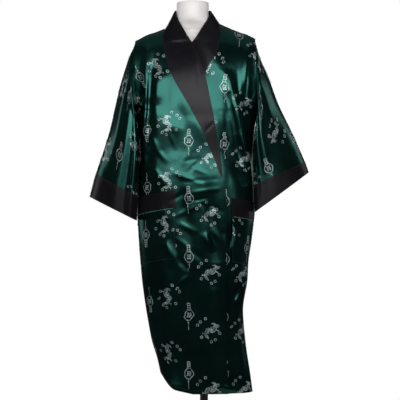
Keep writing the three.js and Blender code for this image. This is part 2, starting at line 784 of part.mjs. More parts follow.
function add(name, geometry, material) {
  const mesh = new THREE.Mesh(geometry, material);
  mesh.name = name;
  kimono.add(mesh);
}

add('right_front', rightFront(), greenSatin());
add('left_front', leftFront(), greenSatin());
add('back', backPanel(), greenSatin());
for (const side of ['left', 'right']) {
  const worn = side === 'left' ? 'right' : 'left';
  add(`${worn}_sleeve`, sleeve(side), greenSatin());
  add(`${worn}_sleeve_band`, sleeveBand(side), blackSatin());
}
add('right_lapel', lapelWall('left', topLapel), blackSatin());
add('left_lapel', lapelWall('right', underLapel, dropBehind), blackSatin());
add('nape_collar', napeCollar(), blackSatin());
for (const pocket of pockets) {
  const bag = pocketPatch(pocket, -pocket.bagDepth, -seamGap, grid.bag);
  const band = pocketPatch(pocket, 0, pocket.bandHeight, grid.pocketBand);
  add(`${pocket.name}_pocket`, bag, greenSatin());
  add(`${pocket.name}_pocket_band`, band, blackSatin());
}
add('dress_form', dressForm(), formCoat());
add('pole', pole(), standPaint());
add('stand_base', standBase(), standPaint());

// The origin is below the middle of the whole box, on the floor
const middle = new THREE.Box3().setFromObject(kimono).getCenter(new THREE.Vector3());
kimono.position.set(-middle.x, -middle.y, 0);

export default kimono;
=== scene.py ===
import math

import bpy
import numpy as np
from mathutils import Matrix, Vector


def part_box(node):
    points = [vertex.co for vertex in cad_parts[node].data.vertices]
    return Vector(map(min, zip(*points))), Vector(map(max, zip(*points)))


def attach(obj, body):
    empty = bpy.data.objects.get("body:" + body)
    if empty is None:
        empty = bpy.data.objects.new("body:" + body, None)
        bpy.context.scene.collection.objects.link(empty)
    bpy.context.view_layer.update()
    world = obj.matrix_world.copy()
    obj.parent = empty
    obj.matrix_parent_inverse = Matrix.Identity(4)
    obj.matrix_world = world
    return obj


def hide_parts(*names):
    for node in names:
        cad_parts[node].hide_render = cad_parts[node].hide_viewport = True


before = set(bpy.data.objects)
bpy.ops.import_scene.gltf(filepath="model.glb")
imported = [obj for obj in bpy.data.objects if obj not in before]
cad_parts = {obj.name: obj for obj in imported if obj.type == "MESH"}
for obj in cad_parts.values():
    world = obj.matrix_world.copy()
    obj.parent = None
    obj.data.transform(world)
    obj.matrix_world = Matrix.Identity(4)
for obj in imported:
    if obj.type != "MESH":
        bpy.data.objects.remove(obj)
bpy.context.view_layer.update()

bl_info = {
    "name": "Satin kimono on a dress form",
    "version": (1, 0, 0),
    "blender": (4, 5, 0),
    "location": "3D View > Sidebar > Kimono",
    "description": "Builds the cloth, woven figures, stitching, dress form and stand of a worn satin kimono",
    "category": "Add Mesh",
}

BODY = "root"
MM = 0.001

# Main sizes of the worn robe, in millimetres, front facing -Y. Left and right in the sizes are as
# seen from the front, and pieces are named for the wearer's side.
HEM = 147.0
ARMPIT = 1125.0
ARMHOLE_DEPTH = 62.0
ARMHOLE_TOP = {"left": 213.0, "right": 207.0}
SHOULDER_MIDDLE = 5.0
HEM_CLIMB = {"start": 10.0, "slope": 0.2}
HEM_CORNER = {"start": 66.0, "reach": 66.0, "rise": 70.0, "steepness": 1.4, "power": 2.4}
HEM_FADE = 7
ROUND_POWER = 0.86
SHOULDER_POWER = {"front": 0.6, "back": 0.33}
OPENED_LIFT = 0.4
SIDE_BLEND = {"power": 10, "fullness": 0.5}
FOLD_FADE = {"side": 0.86, "shoulder": 0.85}
FOLD_TAPER = 0.7
SEAM_GAP = 0.3

# Collar: where the lapels cross, their foot as a share of the way from hem to armpit, and the
# strip over which the left front drops behind the right one's edge
CROSSING = (-14.0, 1360.0)
LAPEL_FOOT = 13 / 17
OVERLAP = {"depth": 9.0, "start": 60.0, "full": 12.0, "top": 1424.0, "top_full": 1350.0}
NECK_X = -11.0
COLLAR = {"radius": 63.0, "back": 64.0, "side": 1478.0, "nape": 1487.0, "bulge": 5.0}
NAPE_SEAM = {"half": 94.0, "depth": 74.0, "lowest_lift": 0.6}

# Dress form and stand; the base's profile gives radius and height from the underside to the socket
FORM_BOTTOM = 790.0
BASE_PROFILE = (
    (182.0, 0.0), (185.0, 0.0), (185.0, 7.0), (177.0, 13.0),
    (27.0, 13.0), (24.0, 17.0), (22.0, 34.0), (18.0, 34.0),
)
BASE_ROUNDING = 1.5
POLE = {"x": 28.0, "radius": 14.0, "end": 13.0, "rounding": 0.5}

# What lies on the cloth, and where the woven width is counted from on each panel
FIGURE_HEIGHT = 0.35
STROKE_STEP = 3.0
STITCH = {"width": 0.7, "pitch": 1.4, "height": 0.3}
PIPING = {"width": 1.4, "inset": 0.8, "height": 0.5}
WOVEN_MIDDLE = {"right_front": -60.0, "left_front": 30.0, "back": 0.0}

# Scale of the satin's band pattern, whose bands are then 2.4 mm apart
THREAD_BANDS = 130.0

# Rows and columns of the drawn grids, and the angle past which an edge is drawn sharp
BODY_ROWS = (190, 64)
FRONT_COLUMNS = {"right": 70, "left": 60}
BACK_COLUMNS = (24, 44)
LAPEL_ROWS = (40, 80)
LAPEL_COLUMNS = 22
NAPE_GRID = (44, 14)
SLEEVE_RINGS = {"cloth": 90, "band": 18}
SLEEVE_AROUND = 110
POCKET_ROWS = {"bag": 32, "band": 12}
POCKET_COLUMNS = 26
FORM_RINGS = 121
ROUND_SEGMENTS = {"form": 96, "base": 96, "pole": 48, "floor": 128}
SOLVER_STEPS = {"line": 10, "nape": 30}
SHARP_DEGREES = {"cloth": 50, "form": 40, "stand": 35}


def table(names, *rows):
    """A short table with named columns, kept as one array for each column."""
    return dict(zip(names.split(), np.array(rows, dtype=float).T))


BODY_SECTIONS = table(
    "height left right front back",
    (140, 124, 199, 88, 92),
    (215, 136, 189, 92, 95),
    (292, 154, 177, 96, 98),
    (374, 167, 168, 101, 102),
    (440, 177, 165, 105, 106),
    (535, 189, 180, 110, 112),
    (604, 195, 184, 114, 116),
    (698, 204, 199, 119, 121),
    (770, 208, 208, 122, 124),
    (860, 208, 208, 127, 122),
    (980, 202, 204, 122, 106),
    (1080, 207, 208, 126, 104),
    (1104, 210, 212, 125.1, 105.6),
    (1125, 208, 210, 125, 106),
)
SHOULDER_LINE = table(
    "out height",
    (0, 1462),
    (60, 1440),
    (90, 1427),
    (122, 1413),
    (148, 1402.5),
    (172, 1395),
    (190, 1386.5),
    (218, 1371),
)
TOP_LAPEL = table(
    "height seam free",
    (140, 112, 112),
    (560, 103, 103),
    (885, 92, 92),
    (909, 79, 91),
    (942, 69, 87.5),
    (982, 51.5, 82.5),
    (1027, 33.5, 74.5),
    (1066, 15, 67),
    (1113, -10.5, 59),
    (1176, -45.5, 46),
    (1218, -70, 38),
    (1256, -88, 28.5),
    (1291, -100, 16.5),
    (1325, -109, 2.5),
    (1360, -115, -14),
    (1390, -115, -14),
    (1425, -104, -14),
)
UNDER_LAPEL = table(
    "height seam free",
    (140, -50, -50),
    (560, -110, -110),
    (885, -134, -134),
    (942, -112, -132),
    (1027, -82, -117),
    (1113, -44, -99),
    (1176, -8, -80),
    (1218, 14, -68),
    (1249, 30, -58),
    (1280, 45, -47),
    (1304, 61, -38),
    (1325, 71, -30),
    (1350, 80, -18),
    (1360, 82, -14),
    (1390, 85, -14),
    (1428, 84, -14),
)
COLLAR_RISE = table(
    "share out lift back",
    (0, 0, 0, 0),
    (0.2, 0.26, 0.2, 0.08),
    (0.4, 0.5, 0.42, 0.22),
    (0.6, 0.74, 0.64, 0.42),
    (0.8, 0.92, 0.84, 0.7),
    (1, 1, 1, 1),
)
FOLD_NAMES = "top_x top_z foot_x foot_z width depth"
FOLDS = {
    "front": table(
        FOLD_NAMES,
        (-168, 1350, -186, 990, 13, 9),
        (-146, 1330, -172, 960, 12, -8),
        (-128, 1268, -148, 862, 34, 13),
        (108, 1262, 200, 850, 19, 14),
        (84, 1256, 146, 1040, 13, -5),
        (104, 1190, 170, 800, 30, -13),
        (180, 1350, 150, 1130, 12, 8),
        (-60, 900, -20, 640, 20, -7),
        (40, 880, 70, 600, 18, -8),
        (-110, 640, -70, 180, 24, 7),
        (60, 520, 120, 90, 22, 8),
    ),
    "back": table(
        FOLD_NAMES,
        (-150, 1340, -120, 900, 20, -8),
        (140, 1350, 120, 880, 20, -9),
        (-30, 1000, -60, 90, 26, 8),
        (80, 940, 100, 90, 26, 7),
        (-110, 700, -90, 90, 24, -7),
    ),
}
CREASE_NAMES = "from_x from_z to_x to_z width depth"
CREASES = {
    "front": table(
        CREASE_NAMES,
        (-84, 912, 38, 862, 7, 2.0),
        (-62, 876, 88, 888, 6, -1.6),
        (-34, 838, 92, 856, 6, 2.0),
        (-96, 806, -18, 852, 7, -2.2),
        (8, 806, 94, 772, 7, -2.2),
        (-72, 758, 12, 800, 7, 2.2),
        (-18, 812, 44, 823, 3.5, -3),
        (-62, 740, 4, 702, 8, 3),
        (40, 742, 84, 664, 9, 3.5),
        (-20, 930, 40, 902, 5, 1.4),
        (-50, 946, 20, 960, 5, -1.0),
        (-70, 690, -10, 640, 8, 2.4),
        (-30, 660, 30, 600, 8, -2.2),
        (-116, 612, -30, 576, 9, 2),
        (152, 522, 126, 462, 9, -9),
        (62, 176, 176, 150, 14, 5),
        (96, 700, 120, 590, 9, 4),
        (-186, 1060, -120, 985, 11, 4),
        (-196, 1010, -150, 930, 10, -2),
        (-138, 1260, -222, 890, 24, 13),
        (-188, 1120, -176, 830, 22, 13),
        (-150, 930, -96, 860, 9, 2.5),
        (100, 1010, 186, 900, 10, 3),
        (120, 940, 192, 850, 10, -4),
        (-60, 1190, -34, 1010, 16, -2),
        (-104, 1236, -92, 1050, 12, -2),
        (110, 1120, 136, 960, 9, 2.5),
        (60, 1236, 84, 1120, 9, 2),
        (6, 1292, 8, 1196, 5, -1.6),
        (66, 1086, 26, 1042, 4, -1.6),
        (-106, 676, -66, 590, 12, 8),
        (-60, 628, -34, 570, 10, -3.5),
        (26, 706, 62, 640, 11, 6),
        (134, 738, 112, 640, 8, -7),
        (-20, 560, -64, 520, 8, 2),
        (-170, 1236, -178, 1010, 8, 7),
        (-186, 1200, -192, 1040, 6, -4),
        (154, 1060, 206, 850, 9, 8),
        (190, 1300, 176, 1130, 9, 6),
        (168, 1300, 158, 1180, 6, -3),
        (-30, 1070, -84, 960, 22, -1.6),
        (-6, 1010, -50, 930, 9, 1.4),
        (-120, 1110, -70, 960, 20, -2.4),
        (-98, 1060, -64, 985, 6, 1.4),
        (-150, 1010, -96, 940, 8, 3),
        (20, 960, -30, 905, 6, -1.6),
        (-120, 800, -92, 740, 8, 2.4),
        (-156, 1170, -84, 1000, 26, 3.2),
        (-74, 1160, -24, 1030, 22, -2.4),
        (-120, 1080, -30, 1050, 18, 2.2),
        (-10, 1100, 30, 1010, 14, 2.0),
        (74, 1150, 96, 1060, 14, 2.4),
    ),
    "back": table(
        CREASE_NAMES,
        (-150, 1180, -60, 1060, 16, 4),
        (150, 1170, 50, 1040, 16, 4),
        (-120, 960, 30, 900, 14, -4),
        (140, 930, 20, 860, 14, 4),
        (-90, 800, 60, 760, 16, 3),
        (-40, 1330, -70, 1120, 16, 3),
        (-120, 1240, -60, 1130, 12, 3),
        (-150, 1100, -110, 960, 10, -4),
        (150, 1120, 110, 980, 10, 4),
        (60, 1260, 90, 1120, 14, -3),
        (-20, 1180, 40, 1100, 16, 2),
        (-80, 1010, 60, 985, 9, -2.5),
        (-110, 905, -10, 870, 9, 3),
        (20, 884, 120, 912, 9, -3),
        (-60, 850, 50, 835, 8, 2.2),
        (-130, 830, -60, 790, 8, 3),
        (60, 800, 130, 770, 8, -3),
        (-40, 720, 20, 650, 12, 3),
        (50, 700, 90, 600, 12, 3),
        (-110, 560, -40, 500, 14, 3),
        (40, 480, 120, 430, 14, -4),
        (-60, 340, 30, 300, 16, 3),
        (90, 300, 130, 220, 12, 4),
        (-90, 260, -60, 180, 12, 4),
    ),
}
SLEEVE_NAMES = "along out_x out_z in_x in_z depth forward"
SLEEVES = {
    "left": table(
        SLEEVE_NAMES,
        (0, 213, 1371, 208, 1125, 62, 0),
        (0.06, 222, 1347, 207.5, 1119, 62, 20),
        (0.14, 236, 1317, 207, 1096, 62, 54),
        (0.3, 262, 1235, 200, 1045, 62, 62),
        (0.45, 283, 1150, 195, 988, 62, 68),
        (0.6, 303, 1062, 195, 930, 62, 70),
        (0.75, 330, 974, 197, 870, 61, 70),
        (0.85, 351, 910, 200, 826, 60, 70),
        (1, 373, 828, 204, 745, 62, 66),
    ),
    "right": table(
        SLEEVE_NAMES,
        (0, 207, 1380, 210, 1125, 62, 0),
        (0.06, 214, 1355, 210, 1119, 62, 20),
        (0.14, 226, 1318, 209, 1096, 61, 54),
        (0.3, 259, 1238, 202, 1050, 59, 62),
        (0.45, 290, 1152, 197, 1000, 56, 68),
        (0.6, 330, 1068, 196, 948, 53, 70),
        (0.75, 363, 995, 198, 900, 51, 70),
        (0.85, 381, 952, 200, 866, 50, 70),
        (1, 395, 913, 203, 774, 52, 68),
    ),
}
BAND_START = 0.85
SLEEVE_START = 0.0005
SLEEVE_LENGTH = 500.0
SLEEVE_ROUNDING = {"power": 0.82, "reach": 0.4}
SLEEVE_FOLD_NAMES = "turn width depth start end"
SLEEVE_FOLDS = {
    ("left", "front"): table(
        SLEEVE_FOLD_NAMES,
        (24, 13, 6, 0.05, 0.8),
        (-44, 12, 9, 0.4, 1.2),
        (-20, 12, -7, 0.2, 1.15),
        (-64, 9, -4, 0.2, 1.0),
        (50, 9, -3, 0.1, 0.6),
        (0, 7, 2, 0.3, 1.05),
    ),
    ("left", "back"): table(
        SLEEVE_FOLD_NAMES,
        (8, 15, -8, 0.1, 1),
        (36, 11, 4, 0.2, 1.1),
        (-24, 12, 5, 0.3, 1.2),
    ),
    ("right", "front"): table(
        SLEEVE_FOLD_NAMES,
        (14, 14, 5, 0.0, 0.6),
        (-40, 13, -9, 0.15, 1.15),
        (-58, 9, 6, 0.05, 0.95),
        (-22, 9, 4, 0.1, 0.8),
    ),
    ("right", "back"): table(
        SLEEVE_FOLD_NAMES,
        (0, 15, -8, 0.15, 1.1),
        (34, 12, 4, 0.1, 1),
        (-30, 12, 5, 0.3, 1.2),
    ),
}
POCKETS = {
    "right": {"near": -70, "far": -200, "seam_near": 790, "seam_far": 763, "band": 61, "bag": 176},
    "left": {"near": 124, "far": 199, "seam_near": 760, "seam_far": 745, "band": 62, "bag": 160},
}
POCKET_SIDE_SHARE = 0.965
FORM_SECTIONS = table(
    "height middle half front back",
    (790, 3, 138, 84, 92),
    (812, 3, 152, 93, 101),
    (860, 3, 163, 98, 106),
    (920, 3, 158, 96, 98),
    (985, 3, 134, 91, 80),
    (1060, 3, 147, 101, 82),
    (1125, 4, 161, 109, 86),
    (1200, 4, 166, 98, 90),
    (1280, 5, 174, 76, 84),
    (1340, 5, 181, 57, 66),
    (1372, 5, 179, 43, 52),
    (1391.6, 5, 172, 22, 22),
    (1399.5, 5, 148, 26, 26),
    (1410, 5, 122, 29, 29),
    (1414, 5, 106, 32, 32),
    (1426, 0, 76, 40, 42),
    (1440, -7, 62, 52, 52),
    (1456, -11, 57, 57, 57),
    (1502, -11, 57, 57, 57),
    (1504.6, -11, 56, 56, 56),
    (1506, -11, 53, 53, 53),
)


def frame_shift():
    """Millimetres from the drafting frame, whose zero is between the shoulders, to the row frame."""
    low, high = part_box("stand_base")
    return (low[0] + high[0]) / 2 / MM - POLE["x"]


SHIFT_X = frame_shift()


def along(rows, key, column, place):
    """Value of a table's column at a place, along a smooth line through its rows."""
    keys = rows[key]
    values = rows[column]
    slopes = np.diff(values) / np.diff(keys)
    ends = np.concatenate(([slopes[0]], (slopes[:-1] + slopes[1:]) / 2, [slopes[-1]]))
    place = np.clip(place, keys[0], keys[-1])
    i = np.clip(np.searchsorted(keys, place, side="right") - 1, 0, len(keys) - 2)
    span = keys[i + 1] - keys[i]
    share = (place - keys[i]) / span
    square = share * share
    cube = square * share
    return (
        values[i] * (2 * cube - 3 * square + 1)
        + values[i + 1] * (3 * square - 2 * cube)
        + span * (ends[i] * (cube - 2 * square + share) + ends[i + 1] * (cube - square))
    )


def mix(low, high, share):
    return low + (high - low) * share


def ramp(value, start, end):
    """Smooth step from 0 at the first place to 1 at the second, which may be the lower one."""
    share = np.clip((value - start) / (end - start), 0, 1)
    return share * share * (3 - 2 * share)


def shoulder_height(x):
    return along(SHOULDER_LINE, "out", "height", np.abs(x - SHOULDER_MIDDLE))


def fold_depth(face, x, z):
    """How far the long folds push a face out at a place."""
    total = np.zeros(np.broadcast(x, z).shape)
    for top_x, top_z, foot_x, foot_z, width, depth in zip(*FOLDS[face].values()):
        share = np.clip((top_z - z) / (top_z - foot_z), 0, 1)
        off = (x - mix(top_x, foot_x, share)) / width
        total += depth * np.exp(-off * off) * np.sin(np.pi * share) ** FOLD_TAPER
    return total


def crease_depth(face, x, z):
    """How far the short creases, which run any way, push a face out at a place."""
    total = np.zeros(np.broadcast(x, z).shape)
    for from_x, from_z, to_x, to_z, width, depth in zip(*CREASES[face].values()):
        run_x, run_z = to_x - from_x, to_z - from_z
        length = math.hypot(run_x, run_z)
        share = ((x - from_x) * run_x + (z - from_z) * run_z) / length**2
        off = ((x - from_x) * run_z - (z - from_z) * run_x) / length / width
        total += depth * np.exp(-off * off) * np.sin(np.pi * np.clip(share, 0, 1))
    return total


def body_rows(rows):
    """Rows of the body from arrays of places: 0 at the hem, 1 at the armpit, 2 on the shoulder line."""
    rows = np.asarray(rows, dtype=float)
    low = np.minimum(rows, 1)
    turn = np.radians(180 * np.maximum(rows - 1, 0) - 90)
    return {"low": low, "height": mix(HEM, ARMPIT, low), "lift": (1 + np.sin(turn)) / 2}


def rows_at(x, z):
    """The rows of the body that places in the front view lie on."""
    under = z <= ARMPIT
    lift = np.clip((z - ARMPIT) / (shoulder_height(x) - ARMPIT), 0, 1)
    return {
        "low": np.where(under, (z - HEM) / (ARMPIT - HEM), 1),
        "height": np.where(under, z, ARMPIT),
        "lift": np.where(under, 0, lift),
    }


def half_width(side, rows):
    low = along(BODY_SECTIONS, "height", side, rows["height"])
    return mix(low, ARMHOLE_TOP[side], rows["lift"])


def width_at(x, rows):
    return np.where(x < 0, half_width("left", rows), half_width("right", rows))


def face_depth(face, x, rows):
    """Depth of the front or back face from the middle plane."""
    share = np.minimum(np.abs(x) / width_at(x, rows), 1)
    lift = rows["lift"]
    rounded = np.sqrt(1 - share * share) ** ROUND_POWER
    sloped = np.cos(share * np.pi / 2)
    table_depth = along(BODY_SECTIONS, "height", face, rows["height"])
    middle = table_depth * (1 - lift**2) ** SHOULDER_POWER[face]
    at_side = share ** SIDE_BLEND["power"]
    opened = ramp(lift, 0, OPENED_LIFT)
    fullness = mix(1, SIDE_BLEND["fullness"], np.maximum(at_side, opened))
    edge = ARMHOLE_DEPTH * np.maximum(1 - (2 * lift - 1) ** 2, 0) ** fullness
    return middle * mix(rounded, sloped, opened) + edge * mix(at_side, 1 - sloped, opened)


def hem_rise(x):
    """How far the hem line lies above its lowest point at an x."""
    climb = HEM_CLIMB["slope"] * np.maximum(-x - HEM_CLIMB["start"], 0)
    corner = np.maximum(-x - HEM_CORNER["start"], 0) / HEM_CORNER["reach"]
    turned = 1 - np.exp(-HEM_CORNER["steepness"] * corner ** HEM_CORNER["power"])
    return climb + HEM_CORNER["rise"] * turned


def body_points(face, x, rows):
    """Points of a face of the robe at an array of x on an array of rows."""
    fade = (1 - np.maximum(rows["low"], 0)) ** HEM_FADE
    z = mix(rows["height"], shoulder_height(x), rows["lift"]) + hem_rise(x) * fade
    share = np.abs(x) / width_at(x, rows)
    flat = ramp(share, 1, FOLD_FADE["side"]) * ramp(rows["lift"], 1, FOLD_FADE["shoulder"])
    depth = face_depth(face, x, rows) + (fold_depth(face, x, z) + crease_depth(face, x, z)) * flat
    y = -depth if face == "front" else depth
    return np.stack(np.broadcast_arrays(x, y, z), axis=-1)


def face_points(face, x, z):
    return body_points(face, x, rows_at(x, z))


def line_on_rows(lines, column, rows):
    """X of a lapel line on rows whose height there depends on x."""
    z = rows["height"]
    for _ in range(SOLVER_STEPS["line"]):
        z = mix(rows["height"], shoulder_height(along(lines, "height", column, z)), rows["lift"])
    return along(lines, "height", column, z)


def even_rows(low_count, high_count, foot=0.0):
    """Row places from the hem, or a foot above it, to the armpit and on to the shoulder line."""
    low = np.linspace(foot, 1, low_count, endpoint=False)
    return np.concatenate((low, 1 + np.linspace(0, 1, high_count + 1)))


def front_grid(side, lines, columns, places):
    """Points of a front panel, from its outer side to its lapel seam, with columns to the right."""
    sign = -1 if side == "left" else 1
    rows = body_rows(places[:, None])
    width = half_width(side, rows)
    seam = line_on_rows(lines, "seam", rows)
    other = width_at(seam, rows)
    start = sign * np.pi / 2
    end = np.arcsin(np.clip(seam / other, -1, 1))
    reach = np.sin(mix(start, end, np.linspace(0, 1, columns + 1)[None, :]))
    x = reach * np.where(reach * sign > 0, width, other)
    points = body_points("front", x, rows)
    points[..., 1] = np.minimum(points[..., 1], -SEAM_GAP / 2)
    return points if sign < 0 else points[:, ::-1]


def drop_behind(points):
    """The left front drops behind the right one where they overlap."""
    edge = along(TOP_LAPEL, "height", "free", points[..., 2])
    across = ramp(points[..., 0], edge + OVERLAP["start"], edge + OVERLAP["full"])
    below_neck = ramp(points[..., 2], OVERLAP["top"], OVERLAP["top_full"])
    points[..., 1] += OVERLAP["depth"] * across * below_neck
    return points


def nape_seam_depth(x):
    share = np.minimum(np.abs(x - NECK_X) / NAPE_SEAM["half"], 1)
    return NAPE_SEAM["depth"] * np.sqrt(1 - share * share)


def nape_lift(x):
    """Share of the way to the shoulder line where the back ends at the neck seam."""
    low = np.full(np.shape(x), NAPE_SEAM["lowest_lift"])
    high = np.ones(np.shape(x))
    for _ in range(SOLVER_STEPS["nape"]):
        lift = (low + high) / 2
        rows = {"low": 1.0, "height": ARMPIT, "lift": lift}
        outside = face_depth("back", x, rows) > nape_seam_depth(x)
        low = np.where(outside, lift, low)
        high = np.where(outside, high, lift)
    return low


def back_grid(outer_columns, neck_columns, places):
    neck_left = (NECK_X - NAPE_SEAM["half"]) / ARMHOLE_TOP["left"]
    neck_right = (NECK_X + NAPE_SEAM["half"]) / ARMHOLE_TOP["right"]
    steps = np.linspace(0, 1, outer_columns + 1)
    left = np.sin(mix(-np.pi / 2, np.arcsin(neck_left), steps[:-1]))
    middle = mix(neck_left, neck_right, (1 - np.cos(np.pi * np.linspace(0, 1, neck_columns + 1))) / 2)
    right = np.sin(mix(np.arcsin(neck_right), np.pi / 2, steps[1:]))
    shares = np.concatenate((left, middle, right))[None, :]
    top_x = shares * np.where(shares < 0, ARMHOLE_TOP["left"], ARMHOLE_TOP["right"])
    rows = body_rows(places[:, None])
    rows = {
        "low": rows["low"] + 0 * shares,
        "height": rows["height"] + 0 * shares,
        "lift": rows["lift"] * nape_lift(top_x),
    }
    x = shares * np.where(shares < 0, half_width("left", rows), half_width("right", rows))
    points = body_points("back", x, rows)
    points[..., 1] = np.maximum(points[..., 1], SEAM_GAP / 2)
    return points[:, ::-1]


def sleeve_fold(side, angle, place):
    """How far the folds push a sleeve out at a turn round it and a share of its length."""
    front = np.cos(angle) >= 0
    turn = np.degrees(np.arcsin(np.sin(angle)))
    total = np.zeros(np.broadcast(angle, place).shape)
    for face, here, sign in (("front", front, 1), ("back", ~front, -1)):
        for middle, width, depth, start, end in zip(*SLEEVE_FOLDS[side, face].values()):
            share = np.clip((place - start) / (end - start), 0, 1)
            off = (turn - middle) / width
            total += here * sign * depth * np.exp(-off * off) * np.sin(np.pi * share) ** FOLD_TAPER
    return total


def sleeve_grid(side, start, end, count):
    """Rings of a sleeve tube between two shares of its length; the last column meets the first."""
    sign = -1 if side == "left" else 1
    place = np.linspace(start, end, count + 1)[:, None]
    angle = np.linspace(-np.pi / 2, 3 * np.pi / 2, SLEEVE_AROUND + 1)[None, :]
    out_x, out_z, in_x, in_z, half_depth, forward = (
        along(SLEEVES[side], "along", column, place)
        for column in ("out_x", "out_z", "in_x", "in_z", "depth", "forward")
    )
    power = mix(1, SLEEVE_ROUNDING["power"], ramp(place, 0, SLEEVE_ROUNDING["reach"]))
    up = np.sign(np.sin(angle)) * np.abs(np.sin(angle)) ** power
    ahead = np.sign(np.cos(angle)) * np.abs(np.cos(angle)) ** power
    x = (out_x + in_x) / 2 + up * (out_x - in_x) / 2
    z = (out_z + in_z) / 2 + up * (out_z - in_z) / 2
    depth = ahead * half_depth + forward * (1 - up) / 2 + sleeve_fold(side, angle, place)
    points = np.stack(np.broadcast_arrays(sign * x, -depth, z), axis=-1)
    return points if sign < 0 else points[:, ::-1]


def collar_edge(side, share):
    """Free edge of the collar, from the crossing up to the side of the neck."""
    sign = -1 if side == "left" else 1
    start = face_points("front", np.float64(CROSSING[0]), np.float64(CROSSING[1]))
    out, lift, back = (along(COLLAR_RISE, "share", name, share) for name in ("out", "lift", "back"))
    return np.stack(
        (
            mix(start[0], NECK_X + sign * COLLAR["radius"], out),
            mix(start[1], -SEAM_GAP / 2, back),
            mix(start[2], COLLAR["side"], lift),
        ),
        axis=-1,
    )


def lapel_grid(side, lines, columns, places):
    """Lapel and front half of the collar, on rows of the panel that it is sewn to."""
    sign = 1 if side == "left" else -1
    rows = body_rows(places)
    seam = body_points("front", line_on_rows(lines, "seam", rows), rows)
    rise = (seam[:, 2] - CROSSING[1]) / (shoulder_height(seam[:, 0]) - CROSSING[1])
    share = np.minimum(rise, 1)
    free_x = along(lines, "height", "free", seam[:, 2])
    seam[:, 0] += sign * SEAM_GAP
    seam[-1, 1] = -SEAM_GAP / 2
    across = np.linspace(0, 1, columns + 1)
    low = face_points("front", mix(seam[:, :1], free_x[:, None], across[None, :]), seam[:, 2:3] + 0 * across)
    edge = collar_edge(side, np.maximum(share, 0))
    high = mix(seam[:, None, :], edge[:, None, :], across[None, :, None])
    high[..., 1] -= COLLAR["bulge"] * np.sin(np.pi * across)[None, :] * (1 - np.maximum(share, 0))[:, None]
    points = np.where((share <= 0)[:, None, None], low, high)
    return points if sign > 0 else points[:, ::-1]


def nape_grid(columns, count):
    """Back half of the collar, standing behind the neck from shoulder line to shoulder line."""
    out = np.cos(np.pi * np.linspace(0, 1, columns + 1))
    back = np.sin(np.pi * np.linspace(0, 1, columns + 1))
    x = NECK_X + out * NAPE_SEAM["half"]
    rows = {"low": np.ones_like(x), "height": np.full_like(x, ARMPIT), "lift": nape_lift(x)}
    seam = body_points("back", x, rows)
    seam[:, 0] -= out * SEAM_GAP
    seam[:, 1] = np.maximum(seam[:, 1], SEAM_GAP / 2)
    seam[:, 2] += SEAM_GAP
    top = np.stack(
        (
            NECK_X + out * COLLAR["radius"],
            SEAM_GAP / 2 + back * COLLAR["back"],
            mix(COLLAR["side"], COLLAR["nape"], back),
        ),
        axis=-1,
    )
    up = np.linspace(0, 1, count + 1)[:, None, None]
    return mix(seam[None], top[None], up)


def pocket_grid(pocket, low, high, count):
    """Patch on the front between two heights above the seam of its band."""
    lift = np.linspace(low, high, count + 1)[:, None]
    far_rows = rows_at(np.full_like(lift, pocket["far"]), pocket["seam_far"] + lift)
    width = half_width("left" if pocket["far"] < 0 else "right", far_rows)
    start = np.arcsin(pocket["near"] / width)
    end = np.arcsin(np.clip(pocket["far"] / width, -POCKET_SIDE_SHARE, POCKET_SIDE_SHARE))
    across = np.linspace(0, 1, POCKET_COLUMNS + 1)[None, :]
    x = width * np.sin(mix(start, end, across))
    z = mix(pocket["seam_near"], pocket["seam_far"], across) + lift
    points = face_points("front", x, z)
    return points if pocket["far"] > pocket["near"] else points[:, ::-1]


class Surface:
    """A cloth face: a grid of points in millimetres with its outward normals and woven directions."""

    def __init__(self, points, closed=False, out=0.0):
        self.closed = closed
        normals = grid_normals(points, closed)
        self.points = points + normals * out
        self.normals = normals
        steps = np.linalg.norm(np.diff(self.points, axis=1), axis=2)
        rises = np.linalg.norm(np.diff(self.points, axis=0), axis=2)
        self.across = np.concatenate((np.zeros((len(points), 1)), np.cumsum(steps, axis=1)), axis=1)
        self.up = np.concatenate(([0.0], np.cumsum(np.median(rises, axis=1))))
        self.area = float(np.sum((steps[:-1] + steps[1:]) / 2 * (rises[:, :-1] + rises[:, 1:]) / 2))
        self.cut = (float(self.across[:, -1].max()), float(rises.sum(axis=0).max()))

    def centre_on(self, column_x):
        """Counts the woven width from where each row passes an x."""
        for i, line in enumerate(self.points):
            nearest = int(np.argmin(np.abs(line[:, 0] - column_x)))
            self.across[i] -= self.across[i, nearest]

    def sample(self, across, up, out):
        """Point on the cloth at a woven place, or None past its edge."""
        if not self.up[0] <= up <= self.up[-1]:
            return None
        i = min(int(np.searchsorted(self.up, up, side="right")) - 1, len(self.up) - 2)
        rise = (up - self.up[i]) / (self.up[i + 1] - self.up[i])
        line = mix(self.across[i], self.across[i + 1], rise)
        if not line[0] <= across <= line[-1]:
            return None
        j = min(int(np.searchsorted(line, across, side="right")) - 1, len(line) - 2)
        step = (across - line[j]) / max(line[j + 1] - line[j], 1e-6)
        corner = [
            mix(mix(grid[i, j], grid[i, j + 1], step), mix(grid[i + 1, j], grid[i + 1, j + 1], step), rise)
            for grid in (self.points, self.normals)
        ]
        return corner[0] + corner[1] * out


def grid_normals(points, closed):
    """Outward normals of a grid whose columns and rows turn outward."""
    if closed:
        ring = points[:, :-1]
        across = np.roll(ring, -1, axis=1) - np.roll(ring, 1, axis=1)
        across = np.concatenate((across, across[:, :1]), axis=1)
    else:
        across = np.gradient(points, axis=1)
    up = np.gradient(points, axis=0)
    normals = np.cross(across, up)
    return normals / np.maximum(np.linalg.norm(normals, axis=2, keepdims=True), 1e-9)


def to_metres(points):
    return (np.asarray(points) + np.array((SHIFT_X, 0.0, 0.0))) * MM


